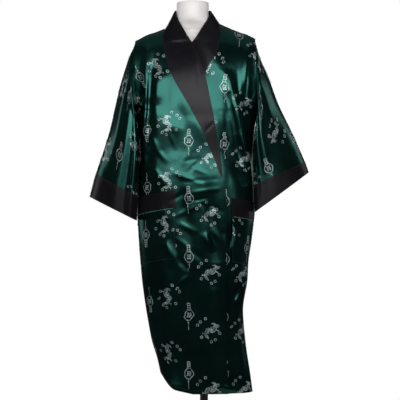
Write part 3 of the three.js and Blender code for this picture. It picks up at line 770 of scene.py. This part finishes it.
def new_piece(name, vertices, faces, material, uvs=None, sharp_degrees=SHARP_DEGREES["cloth"]):
    """Mesh object from points in millimetres, smooth but for its sharp edges."""
    mesh = bpy.data.meshes.new(name)
    mesh.from_pydata(to_metres(vertices).tolist(), [], faces)
    mesh.polygons.foreach_set("use_smooth", [True] * len(mesh.polygons))
    if uvs is not None:
        layer = mesh.uv_layers.new(name="weave")
        layer.data.foreach_set("uv", np.asarray(uvs, dtype=float).ravel())
    mesh.materials.append(material)
    mesh.update()
    mesh.set_sharp_from_angle(angle=math.radians(sharp_degrees))
    piece = bpy.data.objects.new(name, mesh)
    bpy.context.scene.collection.objects.link(piece)
    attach(piece, BODY)
    return piece


def wall_piece(name, surface, thickness, material):
    """Closed thin shell under a cloth face, with woven coordinates in metres."""
    count, width = surface.points.shape[:2]
    columns = width - 1 if surface.closed else width
    outer = surface.points[:, :columns].reshape(-1, 3)
    inner = (surface.points - surface.normals * thickness)[:, :columns].reshape(-1, 3)
    faces = []
    uvs = []

    def quad(*corners):
        """Adds a face from the row, the column and the side, 0 outside or 1 inside, of its corners."""
        faces.append([i * columns + j % columns + inside * len(outer) for i, j, inside in corners])
        uvs.extend((surface.across[i, j] * MM, surface.up[i] * MM) for i, j, _ in corners)

    top, end = count - 1, width - 1
    for i in range(top):
        for j in range(end):
            quad((i, j, 0), (i, j + 1, 0), (i + 1, j + 1, 0), (i + 1, j, 0))
            quad((i, j, 1), (i + 1, j, 1), (i + 1, j + 1, 1), (i, j + 1, 1))
    for j in range(end):
        quad((0, j, 0), (0, j, 1), (0, j + 1, 1), (0, j + 1, 0))
        quad((top, j, 0), (top, j + 1, 0), (top, j + 1, 1), (top, j, 1))
    for i in range(0 if surface.closed else top):
        quad((i, 0, 0), (i + 1, 0, 0), (i + 1, 0, 1), (i, 0, 1))
        quad((i, end, 0), (i, end, 1), (i + 1, end, 1), (i + 1, end, 0))
    return new_piece(name, np.concatenate((outer, inner)), faces, material, uvs)


def colour(code):
    """Linear colour from an sRGB hex code."""
    parts = [int(code[i:i + 2], 16) / 255 for i in (1, 3, 5)]
    linear = [c / 12.92 if c <= 0.04045 else ((c + 0.055) / 1.055) ** 2.4 for c in parts]
    return (*linear, 1.0)


def add_node(tree, kind, inputs=None, links=None, stops=(), **settings):
    """Adds a node with its settings, socket values, incoming links and, on a ramp, its two stops."""
    node = tree.nodes.new(kind)
    for name, value in settings.items():
        setattr(node, name, value)
    for socket, value in (inputs or {}).items():
        node.inputs[socket].default_value = value
    for socket, source in (links or {}).items():
        tree.links.new(source, node.inputs[socket])
    for i, (place, tone) in enumerate(stops):
        node.color_ramp.elements[i].position = place
        node.color_ramp.elements[i].color = tone
    return node


def new_material(name):
    material = bpy.data.materials.new(name)
    material.use_nodes = True
    material.node_tree.nodes.clear()
    return material


def finish_material(material, kind, values, links=None):
    """Ends a material in its shader and its output."""
    shader = add_node(material.node_tree, kind, values, links)
    add_node(material.node_tree, "ShaderNodeOutputMaterial", links={"Surface": shader.outputs[0]})
    return material


def mottled(tree, place, scale, detail, stops):
    """Cloudy change between two tones: the noise's value and the tone it gives."""
    noise = add_node(tree, "ShaderNodeTexNoise", {"Scale": scale, "Detail": detail}, {"Vector": place})
    tone = add_node(tree, "ShaderNodeValToRGB", links={"Fac": noise.outputs["Fac"]}, stops=stops)
    return noise.outputs["Fac"], tone.outputs["Color"]


def woven_satin(name, deep, light, roughness, metallic, wrinkle):
    """Filament satin, woven in long floats: the floats give a tight mirror-like sheen along the cloth."""
    material = new_material(name)
    tree = material.node_tree
    weave = add_node(tree, "ShaderNodeUVMap", uv_map="weave")
    place = add_node(tree, "ShaderNodeTexCoord").outputs["Object"]
    cloud, tone = mottled(tree, place, 9.0, 3.0, ((0.3, colour(deep)), (0.7, colour(light))))
    # Real threads are 0.1 mm apart; the floats are drawn 2.4 mm apart, so that they just show
    threads = add_node(
        tree,
        "ShaderNodeTexWave",
        {"Scale": THREAD_BANDS, "Distortion": 1.5, "Detail": 1.0, "Detail Scale": 2.0},
        {"Vector": weave.outputs["UV"]},
        wave_type="BANDS",
        bands_direction="X",
    )
    creases = add_node(
        tree, "ShaderNodeTexNoise", {"Scale": 26.0, "Detail": 2.0, "Roughness": 0.4}, {"Vector": place}
    )
    fine = add_node(
        tree, "ShaderNodeBump", {"Strength": 0.06, "Distance": 0.0002}, {"Height": threads.outputs["Fac"]}
    )
    soft = add_node(
        tree,
        "ShaderNodeBump",
        {"Strength": wrinkle, "Distance": 0.002},
        {"Height": creases.outputs["Fac"], "Normal": fine.outputs["Normal"]},
    )
    spread = add_node(
        tree,
        "ShaderNodeMapRange",
        {"From Min": 0.3, "From Max": 0.7, "To Min": roughness - 0.03, "To Max": roughness + 0.04},
        {"Value": cloud},
    )
    return finish_material(
        material,
        "ShaderNodeBsdfPrincipled",
        {"Metallic": metallic, "IOR": 1.5, "Anisotropic": 0.35, "Specular IOR Level": 0.15},
        {"Base Color": tone, "Roughness": spread.outputs["Result"], "Normal": soft.outputs["Normal"]},
    )


def figure_thread(code):
    """Pale rayon weft floats that form the figures: soft sheen on a grey-green white."""
    material = new_material("figure_floats")
    tree = material.node_tree
    place = add_node(tree, "ShaderNodeTexCoord").outputs["Object"]
    _, tone = mottled(tree, place, 60.0, 2.0, ((0.35, colour("#66787a")), (0.65, colour(code))))
    values = {"Roughness": 0.42, "Metallic": 0.45, "Sheen Weight": 0.1}
    return finish_material(material, "ShaderNodeBsdfPrincipled", values, {"Base Color": tone})


def sewing_thread(name, code):
    """Spun polyester sewing thread: fuzzy and matt, with painted shade: a random mottle darkens it to 0.7 of
    its colour for shade in the hollows of its twist.
    """
    material = new_material(name)
    tree = material.node_tree
    place = add_node(tree, "ShaderNodeTexCoord").outputs["Object"]
    # Painted shade: the darker tone, 0.7 of the thread's colour, stands for shade in the hollows of the twist
    # and is mottled in at random
    dark = tuple(0.7 * c for c in colour(code)[:3]) + (1.0,)
    _, tone = mottled(tree, place, 400.0, 1.0, ((0.4, dark), (0.6, colour(code))))
    values = {"Roughness": 0.7, "Sheen Weight": 0.3}
    return finish_material(material, "ShaderNodeBsdfPrincipled", values, {"Base Color": tone})


def painted_shell(code):
    """Moulded glass fibre shell with sprayed satin paint: even, with a faint orange peel."""
    material = new_material("painted_shell")
    tree = material.node_tree
    place = add_node(tree, "ShaderNodeTexCoord").outputs["Object"]
    peel = add_node(tree, "ShaderNodeTexNoise", {"Scale": 220.0, "Detail": 2.0}, {"Vector": place})
    _, tone = mottled(tree, place, 5.0, 2.0, ((0.3, colour("#e9e6e4")), (0.7, colour(code))))
    bump = add_node(
        tree, "ShaderNodeBump", {"Strength": 0.05, "Distance": 0.0004}, {"Height": peel.outputs["Fac"]}
    )
    links = {"Base Color": tone, "Normal": bump.outputs["Normal"]}
    return finish_material(material, "ShaderNodeBsdfPrincipled", {"Roughness": 0.38, "IOR": 1.5}, links)


def powder_coat(code):
    """Powder coated steel: dark and half matt, with the pebbled skin of baked powder."""
    material = new_material("powder_coated_steel")
    tree = material.node_tree
    place = add_node(tree, "ShaderNodeTexCoord").outputs["Object"]
    grit, tone = mottled(tree, place, 700.0, 2.0, ((0.35, colour("#0e0e10")), (0.65, colour(code))))
    bump = add_node(tree, "ShaderNodeBump", {"Strength": 0.25, "Distance": 0.0004}, {"Height": grit})
    values = {"Roughness": 0.42, "Metallic": 0.0, "IOR": 1.5}
    links = {"Base Color": tone, "Normal": bump.outputs["Normal"]}
    return finish_material(material, "ShaderNodeBsdfPrincipled", values, links)


class KimonoSizes(bpy.types.PropertyGroup):
    cloth: bpy.props.FloatProperty(
        name="Satin thickness", description="Drawn thickness of one layer of satin",
        default=0.0010, unit="LENGTH",
    )
    band: bpy.props.FloatProperty(
        name="Band thickness", description="Drawn thickness of a folded black band",
        default=0.0016, unit="LENGTH",
    )
    patch: bpy.props.FloatProperty(
        name="Patch clearance", description="Gap between a patch pocket and the front under it",
        default=0.0007, unit="LENGTH",
    )
    repeat_width: bpy.props.FloatProperty(
        name="Repeat width", description="Width of one repeat of the woven figures",
        default=0.300, unit="LENGTH",
    )
    repeat_height: bpy.props.FloatProperty(
        name="Repeat height", description="Height of one repeat of the woven figures",
        default=0.200, unit="LENGTH",
    )
    stitch: bpy.props.FloatProperty(
        name="Stitch length", description="Length of one stitch of the seams that show",
        default=0.0032, unit="LENGTH",
    )


class KimonoColours(bpy.types.PropertyGroup):
    satin: bpy.props.StringProperty(
        name="Green satin", description="sRGB colour of the ground cloth", default="#1f4741"
    )
    band: bpy.props.StringProperty(
        name="Black satin", description="sRGB colour of the collar and bands", default="#1c1b1f"
    )
    figure: bpy.props.StringProperty(
        name="Figures", description="sRGB colour of the woven figures", default="#b3c2c2"
    )
    form: bpy.props.StringProperty(
        name="Dress form", description="sRGB colour of the form's paint", default="#f3f0ee"
    )
    stand: bpy.props.StringProperty(
        name="Stand", description="sRGB colour of the stand's coating", default="#1c1c1f"
    )


SURFACES = {}
MATERIALS = {}

# Each kind of cloth: the size that gives its drawn thickness, and its slot
LAYERS = {"green": ("cloth", "green_satin"), "black": ("band", "black_satin")}


def material_for(kind):
    """Each finish is made once."""
    colours = bpy.context.scene.kimono_colours
    makers = {
        "green": lambda: woven_satin(
            "green_filament_satin", "#183a35", colours.satin, roughness=0.19, metallic=0.9, wrinkle=0.32
        ),
        "black": lambda: woven_satin(
            "black_filament_satin", "#151418", colours.band, roughness=0.28, metallic=0.3, wrinkle=0.15
        ),
        "figure": lambda: figure_thread(colours.figure),
        "green_thread": lambda: sewing_thread("green_sewing_thread", "#12392f"),
        "piping": lambda: sewing_thread("piping_cord", "#3f7a6b"),
        "black_thread": lambda: sewing_thread("black_sewing_thread", "#161517"),
        "form": lambda: painted_shell(colours.form),
        "stand": lambda: powder_coat(colours.stand),
    }
    if kind not in MATERIALS:
        MATERIALS[kind] = makers[kind]()
    return MATERIALS[kind]


def cloth_piece(node, surface, kind):
    """One cut piece of cloth: a shell that replaces its node."""
    SURFACES[node] = surface
    size, slot = LAYERS[kind]
    thickness = getattr(bpy.context.scene.kimono_sizes, size) / MM
    piece = wall_piece(f"{node}_cloth", surface, thickness, material_for(kind))
    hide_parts(node)


class KIMONO_OT_panels(bpy.types.Operator):
    """Make the two fronts and the back"""

    bl_idname = "kimono.panels"
    bl_label = "Fronts and back"

    def execute(self, context):
        places = even_rows(*BODY_ROWS)
        grids = {
            "right_front": front_grid("left", TOP_LAPEL, FRONT_COLUMNS["right"], places),
            "left_front": drop_behind(front_grid("right", UNDER_LAPEL, FRONT_COLUMNS["left"], places)),
            "back": back_grid(*BACK_COLUMNS, places),
        }
        for node, points in grids.items():
            surface = Surface(points)
            surface.centre_on(WOVEN_MIDDLE[node])
            cloth_piece(node, surface, "green")
        return {"FINISHED"}


class KIMONO_OT_sleeves(bpy.types.Operator):
    """Make the two sleeves and their black end bands"""

    bl_idname = "kimono.sleeves"
    bl_label = "Sleeves"

    def execute(self, context):
        band_start = BAND_START + SEAM_GAP / SLEEVE_LENGTH
        for side, worn in (("left", "right"), ("right", "left")):
            tube = Surface(sleeve_grid(side, SLEEVE_START, BAND_START, SLEEVE_RINGS["cloth"]), closed=True)
            cloth_piece(f"{worn}_sleeve", tube, "green")
            band = Surface(sleeve_grid(side, band_start, 1, SLEEVE_RINGS["band"]), closed=True)
            cloth_piece(f"{worn}_sleeve_band", band, "black")
        return {"FINISHED"}


class KIMONO_OT_collar(bpy.types.Operator):
    """Make the black collar: two lapels and the band behind the neck"""

    bl_idname = "kimono.collar"
    bl_label = "Collar"

    def execute(self, context):
        places = even_rows(*LAPEL_ROWS, LAPEL_FOOT)
        grids = {
            "right_lapel": lapel_grid("left", TOP_LAPEL, LAPEL_COLUMNS, places),
            "left_lapel": drop_behind(lapel_grid("right", UNDER_LAPEL, LAPEL_COLUMNS, places)),
            "nape_collar": nape_grid(*NAPE_GRID),
        }
        for node, points in grids.items():
            cloth_piece(node, Surface(points), "black")
        return {"FINISHED"}


class KIMONO_OT_pockets(bpy.types.Operator):
    """Make the two patch pockets with their black top bands"""

    bl_idname = "kimono.pockets"
    bl_label = "Pockets"

    def execute(self, context):
        sizes = context.scene.kimono_sizes
        for side, pocket in POCKETS.items():
            points = pocket_grid(pocket, -pocket["bag"], -SEAM_GAP, POCKET_ROWS["bag"])
            bag = Surface(points, out=(sizes.patch + sizes.cloth) / MM)
            bag.centre_on(WOVEN_MIDDLE[f"{side}_front"])
            cloth_piece(f"{side}_pocket", bag, "green")
            points = pocket_grid(pocket, 0, pocket["band"], POCKET_ROWS["band"])
            band = Surface(points, out=(sizes.patch + sizes.band) / MM)
            cloth_piece(f"{side}_pocket_band", band, "black")
        return {"FINISHED"}


def arc_line(x, y, wide, high, start, end, count=9):
    """Part of an ellipse, with angles in degrees from +X."""
    turns = np.radians(np.linspace(start, end, count))
    return [(x + wide * math.cos(t), y + high * math.sin(t)) for t in turns]


def lantern_lines():
    """A hanging lantern in plain strokes: laddered bar, cap, round body with a lattice window, and cord."""
    lines = [
        ([(-4.6, 42), (-4.6, 19)], 2.0),
        ([(4.6, 42), (4.6, 19)], 2.0),
        ([(-8, 18.5), (8, 18.5)], 2.4),
        ([(-8, -16.5), (8, -16.5)], 2.4),
        ([(0, -17), (0, -50)], 1.5),
        ([(-2.6, -25), (2.6, -25)], 1.8),
    ]
    for height in (41.5, 34, 26.5):
        lines.append(([(-4.8, height), (4.8, height)], 2.8))
    for height in (7.2, 1.2, -4.8):
        for middle in (-3.9, 3.9):
            lines.append(([(middle - 2.9, height), (middle + 2.9, height)], 4.2))
    for side in (0, 180):
        lines.append((arc_line(0, 1, 15.2, 16.5, side - 62, side + 62, 13), 2.4))
    return lines


def serpent_lines():
    """A winding water serpent in plain strokes: ribbed body, short legs, crest, head and fan tail."""
    turn = np.linspace(0, 1, 37)
    bend = 2 * np.pi * turn * 0.95 + 0.35
    spine = np.stack((13 * np.sin(bend) * (1 - 0.25 * turn), 20 - 41 * turn + 5 * np.sin(2 * bend)), axis=1)
    way = np.gradient(spine, axis=0)
    way /= np.linalg.norm(way, axis=1, keepdims=True)
    side = np.stack((way[:, 1], -way[:, 0]), axis=1)
    half = (5.4 * (1 - 0.6 * turn))[:, None]
    lines = [(spine + side * half, 1.9), (spine - side * half, 1.9)]

    def stroke(start, end, width):
        lines.append((np.array((start, end)), width))

    for k in range(1, 36, 2):
        rib = side[k] * half[k]
        stroke(spine[k] - rib, spine[k] + rib, 1.7)
        stroke(spine[k] + rib, spine[k] + side[k] * (half[k] + 3.0) - way[k] * 1.6, 1.5)
    for k, reach in ((7, -11), (13, 11), (21, -10), (28, 9)):
        foot = spine[k] + side[k] * reach + way[k] * 2.5
        stroke(spine[k], foot, 2.4)
        for spread in (-3.0, 0.0, 3.0):
            stroke(foot, foot + side[k] * reach * 0.35 + way[k] * spread, 1.3)
    head = spine[0]
    jaw = head + (7.5, 1.6)
    stroke(head, jaw, 6.0)
    stroke(jaw, jaw + (5, 2.4), 2.4)
    stroke(head + (3, -3), head + (10, -4), 2.2)
    for lean in (1.0, 4.5, 8.0):
        stroke(head + (0, 2), head + (-2 - lean, 8.5 - lean), 1.7)
    for spread in (-6.0, -2.0, 2.0, 6.0):
        stroke(spine[-1], spine[-1] + (spread, -7.5), 1.7)
    return lines


# Places in one repeat, in millimetres: figure, x, y, turn in degrees, and 1 or -1 for mirrored
REPEAT = (
    ("lantern", 0, 0, 0, 1),
    ("lantern", 150, 40, 180, 1),
    ("serpent", 74, -52, -24, 1),
    ("serpent", -74, 62, 18, -1),
    ("coins", 74, -52, 0, 1),
    ("coins", -74, 62, 0, -1),
)
COINS = ((-33, 30), (-43, 19), (-15, 41), (27, 16), (33, -9), (-30, -22), (3, -38), (17, -31))
COIN = {"radius": 4.4, "stroke": 2.0}


def figure_strokes():
    """The strokes of each figure: its lines and their widths."""
    coins = [(arc_line(x, y, COIN["radius"], COIN["radius"], 0, 360), COIN["stroke"]) for x, y in COINS]
    return {"lantern": lantern_lines(), "serpent": serpent_lines(), "coins": coins}


def ribbon(surface, line, width, vertices, faces, out):
    """Lays a stroke on the cloth as a flat ribbon, leaving off what passes the edge."""
    line = np.array(line, dtype=float)
    steps = np.linalg.norm(np.diff(line, axis=0), axis=1)
    reach = np.concatenate(([0], np.cumsum(steps)))
    count = max(int(math.ceil(reach[-1] / STROKE_STEP)), 1)
    places = np.linspace(0, reach[-1], count + 1)
    path = np.stack([np.interp(places, reach, line[:, k]) for k in (0, 1)], axis=1)
    way = np.gradient(path, axis=0)
    way /= np.maximum(np.linalg.norm(way, axis=1, keepdims=True), 1e-9)
    side = np.stack((way[:, 1], -way[:, 0]), axis=1) * width / 2
    last = None
    for point, offset in zip(path, side):
        pair = [surface.sample(*(point + sign * offset), out) for sign in (-1, 1)]
        if pair[0] is None or pair[1] is None:
            last = None
            continue
        index = len(vertices)
        vertices.extend(pair)
        if last is not None:
            faces.append((last, index, index + 1, last + 1))
        last = index


def lay_figures(surface, sizes, start):
    """Lays the repeat over a whole piece of cloth, counted from a starting place."""
    vertices, faces = [], []
    figures = figure_strokes()
    start_x, start_y = start
    width = sizes.repeat_width / MM
    height = sizes.repeat_height / MM
    low_x, high_x = surface.across.min(), surface.across.max()
    columns = range(math.floor((low_x - start_x) / width) - 1, math.ceil((high_x - start_x) / width) + 2)
    rows = range(math.floor(-start_y / height) - 1, math.ceil((surface.up[-1] - start_y) / height) + 2)
    for column in columns:
        for row in rows:
            for kind, x, y, turn, hand in REPEAT:
                origin = np.array((start_x + column * width + x, start_y + row * height + y))
                c, s = math.cos(math.radians(turn)), math.sin(math.radians(turn))
                for line, stroke in figures[kind]:
                    turned = [origin + (hand * (c * px - s * py), s * px + c * py) for px, py in line]
                    ribbon(surface, turned, stroke, vertices, faces, FIGURE_HEIGHT)
    return vertices, faces


FIGURE_STARTS = {
    "right_front": (36.0, 66.0),
    "left_front": (70.0, 66.0),
    "back": (40.0, 50.0),
    "right_sleeve": (-18.0, 60.0),
    "left_sleeve": (-18.0, 90.0),
    "right_pocket": (36.0, -340.0),
    "left_pocket": (70.0, -340.0),
}


class KIMONO_OT_figures(bpy.types.Operator):
    """Lay the woven lanterns, serpents and coins on the green pieces"""

    bl_idname = "kimono.figures"
    bl_label = "Woven figures"

    def execute(self, context):
        for node, start in FIGURE_STARTS.items():
            vertices, faces = lay_figures(SURFACES[node], context.scene.kimono_sizes, start)
            if not faces:
                raise RuntimeError(f"no figures fit on {node}")
            piece = new_piece(f"{node}_figures", vertices, faces, material_for("figure"))
        return {"FINISHED"}


def stitch_line(surface, edge, inset, length, vertices, faces):
    """A row of stitches along an edge of a piece: low, high, first or last."""
    low, high = surface.up[0] + inset, surface.up[-1] - inset
    stitches = []
    if edge in ("low", "high"):
        up = low if edge == "low" else high
        line = surface.across[0 if edge == "low" else -1]
        for x in np.arange(line[0] + inset, line[-1] - inset, length * STITCH["pitch"]):
            stitches.append(((x, up), (x + length, up)))
    else:
        for up in np.arange(low, high, length * STITCH["pitch"]):
            i = min(int(np.searchsorted(surface.up, up)), len(surface.up) - 1)
            x = surface.across[i, 0] + inset if edge == "first" else surface.across[i, -1] - inset
            stitches.append(((x, up), (x, up + length)))
    for ends in stitches:
        ribbon(surface, ends, STITCH["width"], vertices, faces, STITCH["height"])


# Stitches: shade of the cloth, distance from the edge, edges, and the pieces that have them
STITCHES = (
    ("green", 12.0, ("low",), ("right_front", "left_front", "back")),
    ("green", 3.0, ("low", "first", "last"), ("right_pocket", "left_pocket")),
    ("black", 3.0, ("first", "last"), ("right_pocket_band", "left_pocket_band", "right_lapel", "left_lapel")),
    ("black", 4.0, ("low", "high"), ("right_sleeve_band", "left_sleeve_band")),
)


class KIMONO_OT_stitching(bpy.types.Operator):
    """Sew the seams and hems that show, and the piping at the pockets' mouths"""

    bl_idname = "kimono.stitching"
    bl_label = "Stitching"

    def execute(self, context):
        length = context.scene.kimono_sizes.stitch / MM
        for shade, inset, edges, nodes in STITCHES:
            for node in nodes:
                vertices, faces = [], []
                for edge in edges:
                    stitch_line(SURFACES[node], edge, inset, length, vertices, faces)
                if not faces:
                    raise RuntimeError(f"no stitches fit on {node}")
                piece = new_piece(f"{node}_stitches", vertices, faces, material_for(f"{shade}_thread"))
        for side in POCKETS:
            surface = SURFACES[f"{side}_pocket"]
            vertices, faces = [], []
            line = [(x, surface.up[-1] - PIPING["inset"]) for x in surface.across[-1, 1:-1]]
            ribbon(surface, line, PIPING["width"], vertices, faces, PIPING["height"])
            piece = new_piece(f"{side}_pocket_piping", vertices, faces, material_for("piping"))
        return {"FINISHED"}


def ring_faces(count, around):
    """Faces of a closed body of stacked rings, with a cap on each end."""
    faces = []
    for i in range(count - 1):
        for j in range(around):
            a = i * around + j
            b = i * around + (j + 1) % around
            faces.append((a, b, b + around, a + around))
    top = (count - 1) * around
    return [*faces, tuple(range(around - 1, -1, -1)), tuple(range(top, top + around))]


def smooth_rings(sections, count, around):
    """Points of elliptical rings, drawn smoothly between the rows of a table."""
    places = np.linspace(0, len(sections["height"]) - 1, count)
    heights = np.interp(places, np.arange(len(sections["height"])), sections["height"])
    angle = np.linspace(0, 2 * np.pi, around, endpoint=False)[None, :]
    middle, half, front, back = (
        along(sections, "height", column, heights)[:, None] for column in ("middle", "half", "front", "back")
    )
    depth = np.where(np.sin(angle) < 0, front, back)
    return np.stack(
        np.broadcast_arrays(middle + half * np.cos(angle), depth * np.sin(angle), heights[:, None]), axis=-1
    )


class KIMONO_OT_form(bpy.types.Operator):
    """Make the smooth shell of the dress form"""

    bl_idname = "kimono.form"
    bl_label = "Dress form"

    def execute(self, context):
        points = smooth_rings(FORM_SECTIONS, FORM_RINGS, ROUND_SEGMENTS["form"])
        faces = ring_faces(FORM_RINGS, ROUND_SEGMENTS["form"])
        piece = new_piece(
            "form_shell", points.reshape(-1, 3), faces, material_for("form"),
            sharp_degrees=SHARP_DEGREES["form"],
        )
        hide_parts("dress_form")
        return {"FINISHED"}


def lathe(name, profile, segments):
    """Round piece of the stand, turned about the pole's upright line."""
    turns = np.linspace(0, 2 * np.pi, segments, endpoint=False)
    vertices = [(POLE["x"] + r * math.cos(t), r * math.sin(t), z) for r, z in profile for t in turns]
    faces = ring_faces(len(profile), segments)
    return new_piece(name, vertices, faces, material_for("stand"), sharp_degrees=SHARP_DEGREES["stand"])


def rounded(corners, radius, count=4):
    """Profile with each inner corner rounded by a small arc."""
    points = [corners[0]]
    for before, here, after in zip(corners, corners[1:], corners[2:]):
        back = Vector(before) - Vector(here)
        on = Vector(after) - Vector(here)
        cut = min(radius, back.length / 2, on.length / 2)
        start = Vector(here) + back.normalized() * cut
        end = Vector(here) + on.normalized() * cut
        for k in range(count + 1):
            s = k / count
            point = start.lerp(Vector(here), s).lerp(Vector(here).lerp(end, s), s)
            points.append(tuple(point))
    points.append(corners[-1])
    return points


class KIMONO_OT_stand(bpy.types.Operator):
    """Make the pole and the round base"""

    bl_idname = "kimono.stand"
    bl_label = "Stand"

    def execute(self, context):
        plate = lathe("base_plate", rounded(BASE_PROFILE, BASE_ROUNDING), ROUND_SEGMENTS["base"])
        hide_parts("stand_base")
        low = BASE_PROFILE[-1][1] + SEAM_GAP
        high = FORM_BOTTOM - SEAM_GAP
        profile = ((POLE["end"], low), (POLE["radius"], low), (POLE["radius"], high), (POLE["end"], high))
        tube = lathe("stand_tube", rounded(profile, POLE["rounding"]), ROUND_SEGMENTS["pole"])
        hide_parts("pole")
        return {"FINISHED"}


# Camera and light, in metres
VIEW = {"distance": 5.0, "frame": 1.4, "x": 0.003, "z": 0.8155}
LIGHTS = (
    ("front_softbox", (0.0, -2.2, 1.73), (0.0, 0.0, 1.73), 3.2, 1.0, 54.0),
    ("middle_softbox", (0.0, -2.2, 1.12), (0.0, 0.0, 1.12), 3.0, 0.22, 3.4),
    ("low_softbox", (0.0, -2.2, 0.79), (0.0, 0.0, 0.79), 3.0, 0.42, 2.8),
    ("back_softbox", (0.0, 2.4, 1.4), (0.0, 0.0, 1.2), 3.2, 1.8, 60.0),
    ("right_side", (2.6, 0.6, 1.3), (0.0, 0.0, 1.1), 0.9, 1.8, 9.0),
    ("left_side", (-2.6, 0.6, 1.3), (0.0, 0.0, 1.1), 0.9, 1.8, 9.0),
    ("ceiling", (0.0, 0.2, 3.6), (0.0, 0.2, 0.0), 3.0, 3.0, 7.0),
)
FLOOR_RADIUS = 0.55
ROOM_LIGHT = 0.03


class KIMONO_OT_stage(bpy.types.Operator):
    """Set the floor, the lights and the camera"""

    bl_idname = "kimono.stage"
    bl_label = "Stage"

    def execute(self, context):
        scene = context.scene
        self.floor(scene)
        self.lights(scene)
        self.surroundings(scene)
        self.camera(scene)
        scene.view_settings.view_transform = "Standard"
        return {"FINISHED"}

    def floor(self, scene):
        turns = np.linspace(0, 2 * np.pi, ROUND_SEGMENTS["floor"], endpoint=False)
        mesh = bpy.data.meshes.new("floor")
        corners = [(FLOOR_RADIUS * math.cos(t), FLOOR_RADIUS * math.sin(t), -0.001) for t in turns]
        mesh.from_pydata(corners, [], [tuple(range(len(corners)))])
        values = {"Color": colour("#f4f4f2"), "Roughness": 0.6}
        mesh.materials.append(finish_material(new_material("pale_floor"), "ShaderNodeBsdfDiffuse", values))
        floor = bpy.data.objects.new("floor", mesh)
        scene.collection.objects.link(floor)

    def lights(self, scene):
        for name, place, target, width, height, power in LIGHTS:
            light = bpy.data.lights.new(name, "AREA")
            light.shape = "RECTANGLE"
            light.size = width
            light.size_y = height
            light.energy = power
            lamp = bpy.data.objects.new(name, light)
            lamp.location = place
            aim = Vector(target) - Vector(place)
            lamp.rotation_euler = aim.to_track_quat("-Z", "Y").to_euler()
            lamp.visible_camera = False
            scene.collection.objects.link(lamp)

    def surroundings(self, scene):
        """White behind the object, and a dim room in what the satin mirrors."""
        world = bpy.data.worlds.new("studio")
        world.use_nodes = True
        tree = world.node_tree
        tree.nodes.clear()
        rays = add_node(tree, "ShaderNodeLightPath")
        white = add_node(tree, "ShaderNodeBackground", {"Color": (1, 1, 1, 1), "Strength": 1.0})
        room = add_node(tree, "ShaderNodeBackground", {"Color": (1, 1, 1, 1), "Strength": ROOM_LIGHT})
        both = add_node(
            tree, "ShaderNodeMixShader",
            links={0: rays.outputs["Is Camera Ray"], 1: room.outputs[0], 2: white.outputs[0]},
        )
        add_node(tree, "ShaderNodeOutputWorld", links={"Surface": both.outputs[0]})
        scene.world = world

    def camera(self, scene):
        data = bpy.data.cameras.new("photo_camera")
        data.sensor_width = 36.0
        data.lens = data.sensor_width * VIEW["distance"] / VIEW["frame"]
        camera = bpy.data.objects.new("photo_camera", data)
        camera.location = (VIEW["x"], -VIEW["distance"], VIEW["z"])
        camera.rotation_euler = (math.radians(90), 0, 0)
        scene.collection.objects.link(camera)
        scene.camera = camera


OPERATORS = (
    KIMONO_OT_panels,
    KIMONO_OT_sleeves,
    KIMONO_OT_collar,
    KIMONO_OT_pockets,
    KIMONO_OT_figures,
    KIMONO_OT_stitching,
    KIMONO_OT_form,
    KIMONO_OT_stand,
    KIMONO_OT_stage,
)


class KIMONO_PT_panel(bpy.types.Panel):
    bl_idname = "KIMONO_PT_panel"
    bl_label = "Kimono"
    bl_space_type = "VIEW_3D"
    bl_region_type = "UI"
    bl_category = "Kimono"

    def draw(self, context):
        layout = self.layout
        for group in (context.scene.kimono_sizes, context.scene.kimono_colours):
            for name in group.__annotations__:
                layout.prop(group, name)
        for operator in OPERATORS:
            layout.operator(operator.bl_idname)


CLASSES = (KimonoSizes, KimonoColours, *OPERATORS, KIMONO_PT_panel)


def register():
    for item in CLASSES:
        bpy.utils.register_class(item)
    bpy.types.Scene.kimono_sizes = bpy.props.PointerProperty(type=KimonoSizes)
    bpy.types.Scene.kimono_colours = bpy.props.PointerProperty(type=KimonoColours)


def unregister():
    del bpy.types.Scene.kimono_colours
    del bpy.types.Scene.kimono_sizes
    for item in reversed(CLASSES):
        bpy.utils.unregister_class(item)


def main():
    register()
    for operator in OPERATORS:
        group, name = operator.bl_idname.split(".")
        getattr(getattr(bpy.ops, group), name)()


if __name__ == "__main__":
    main()
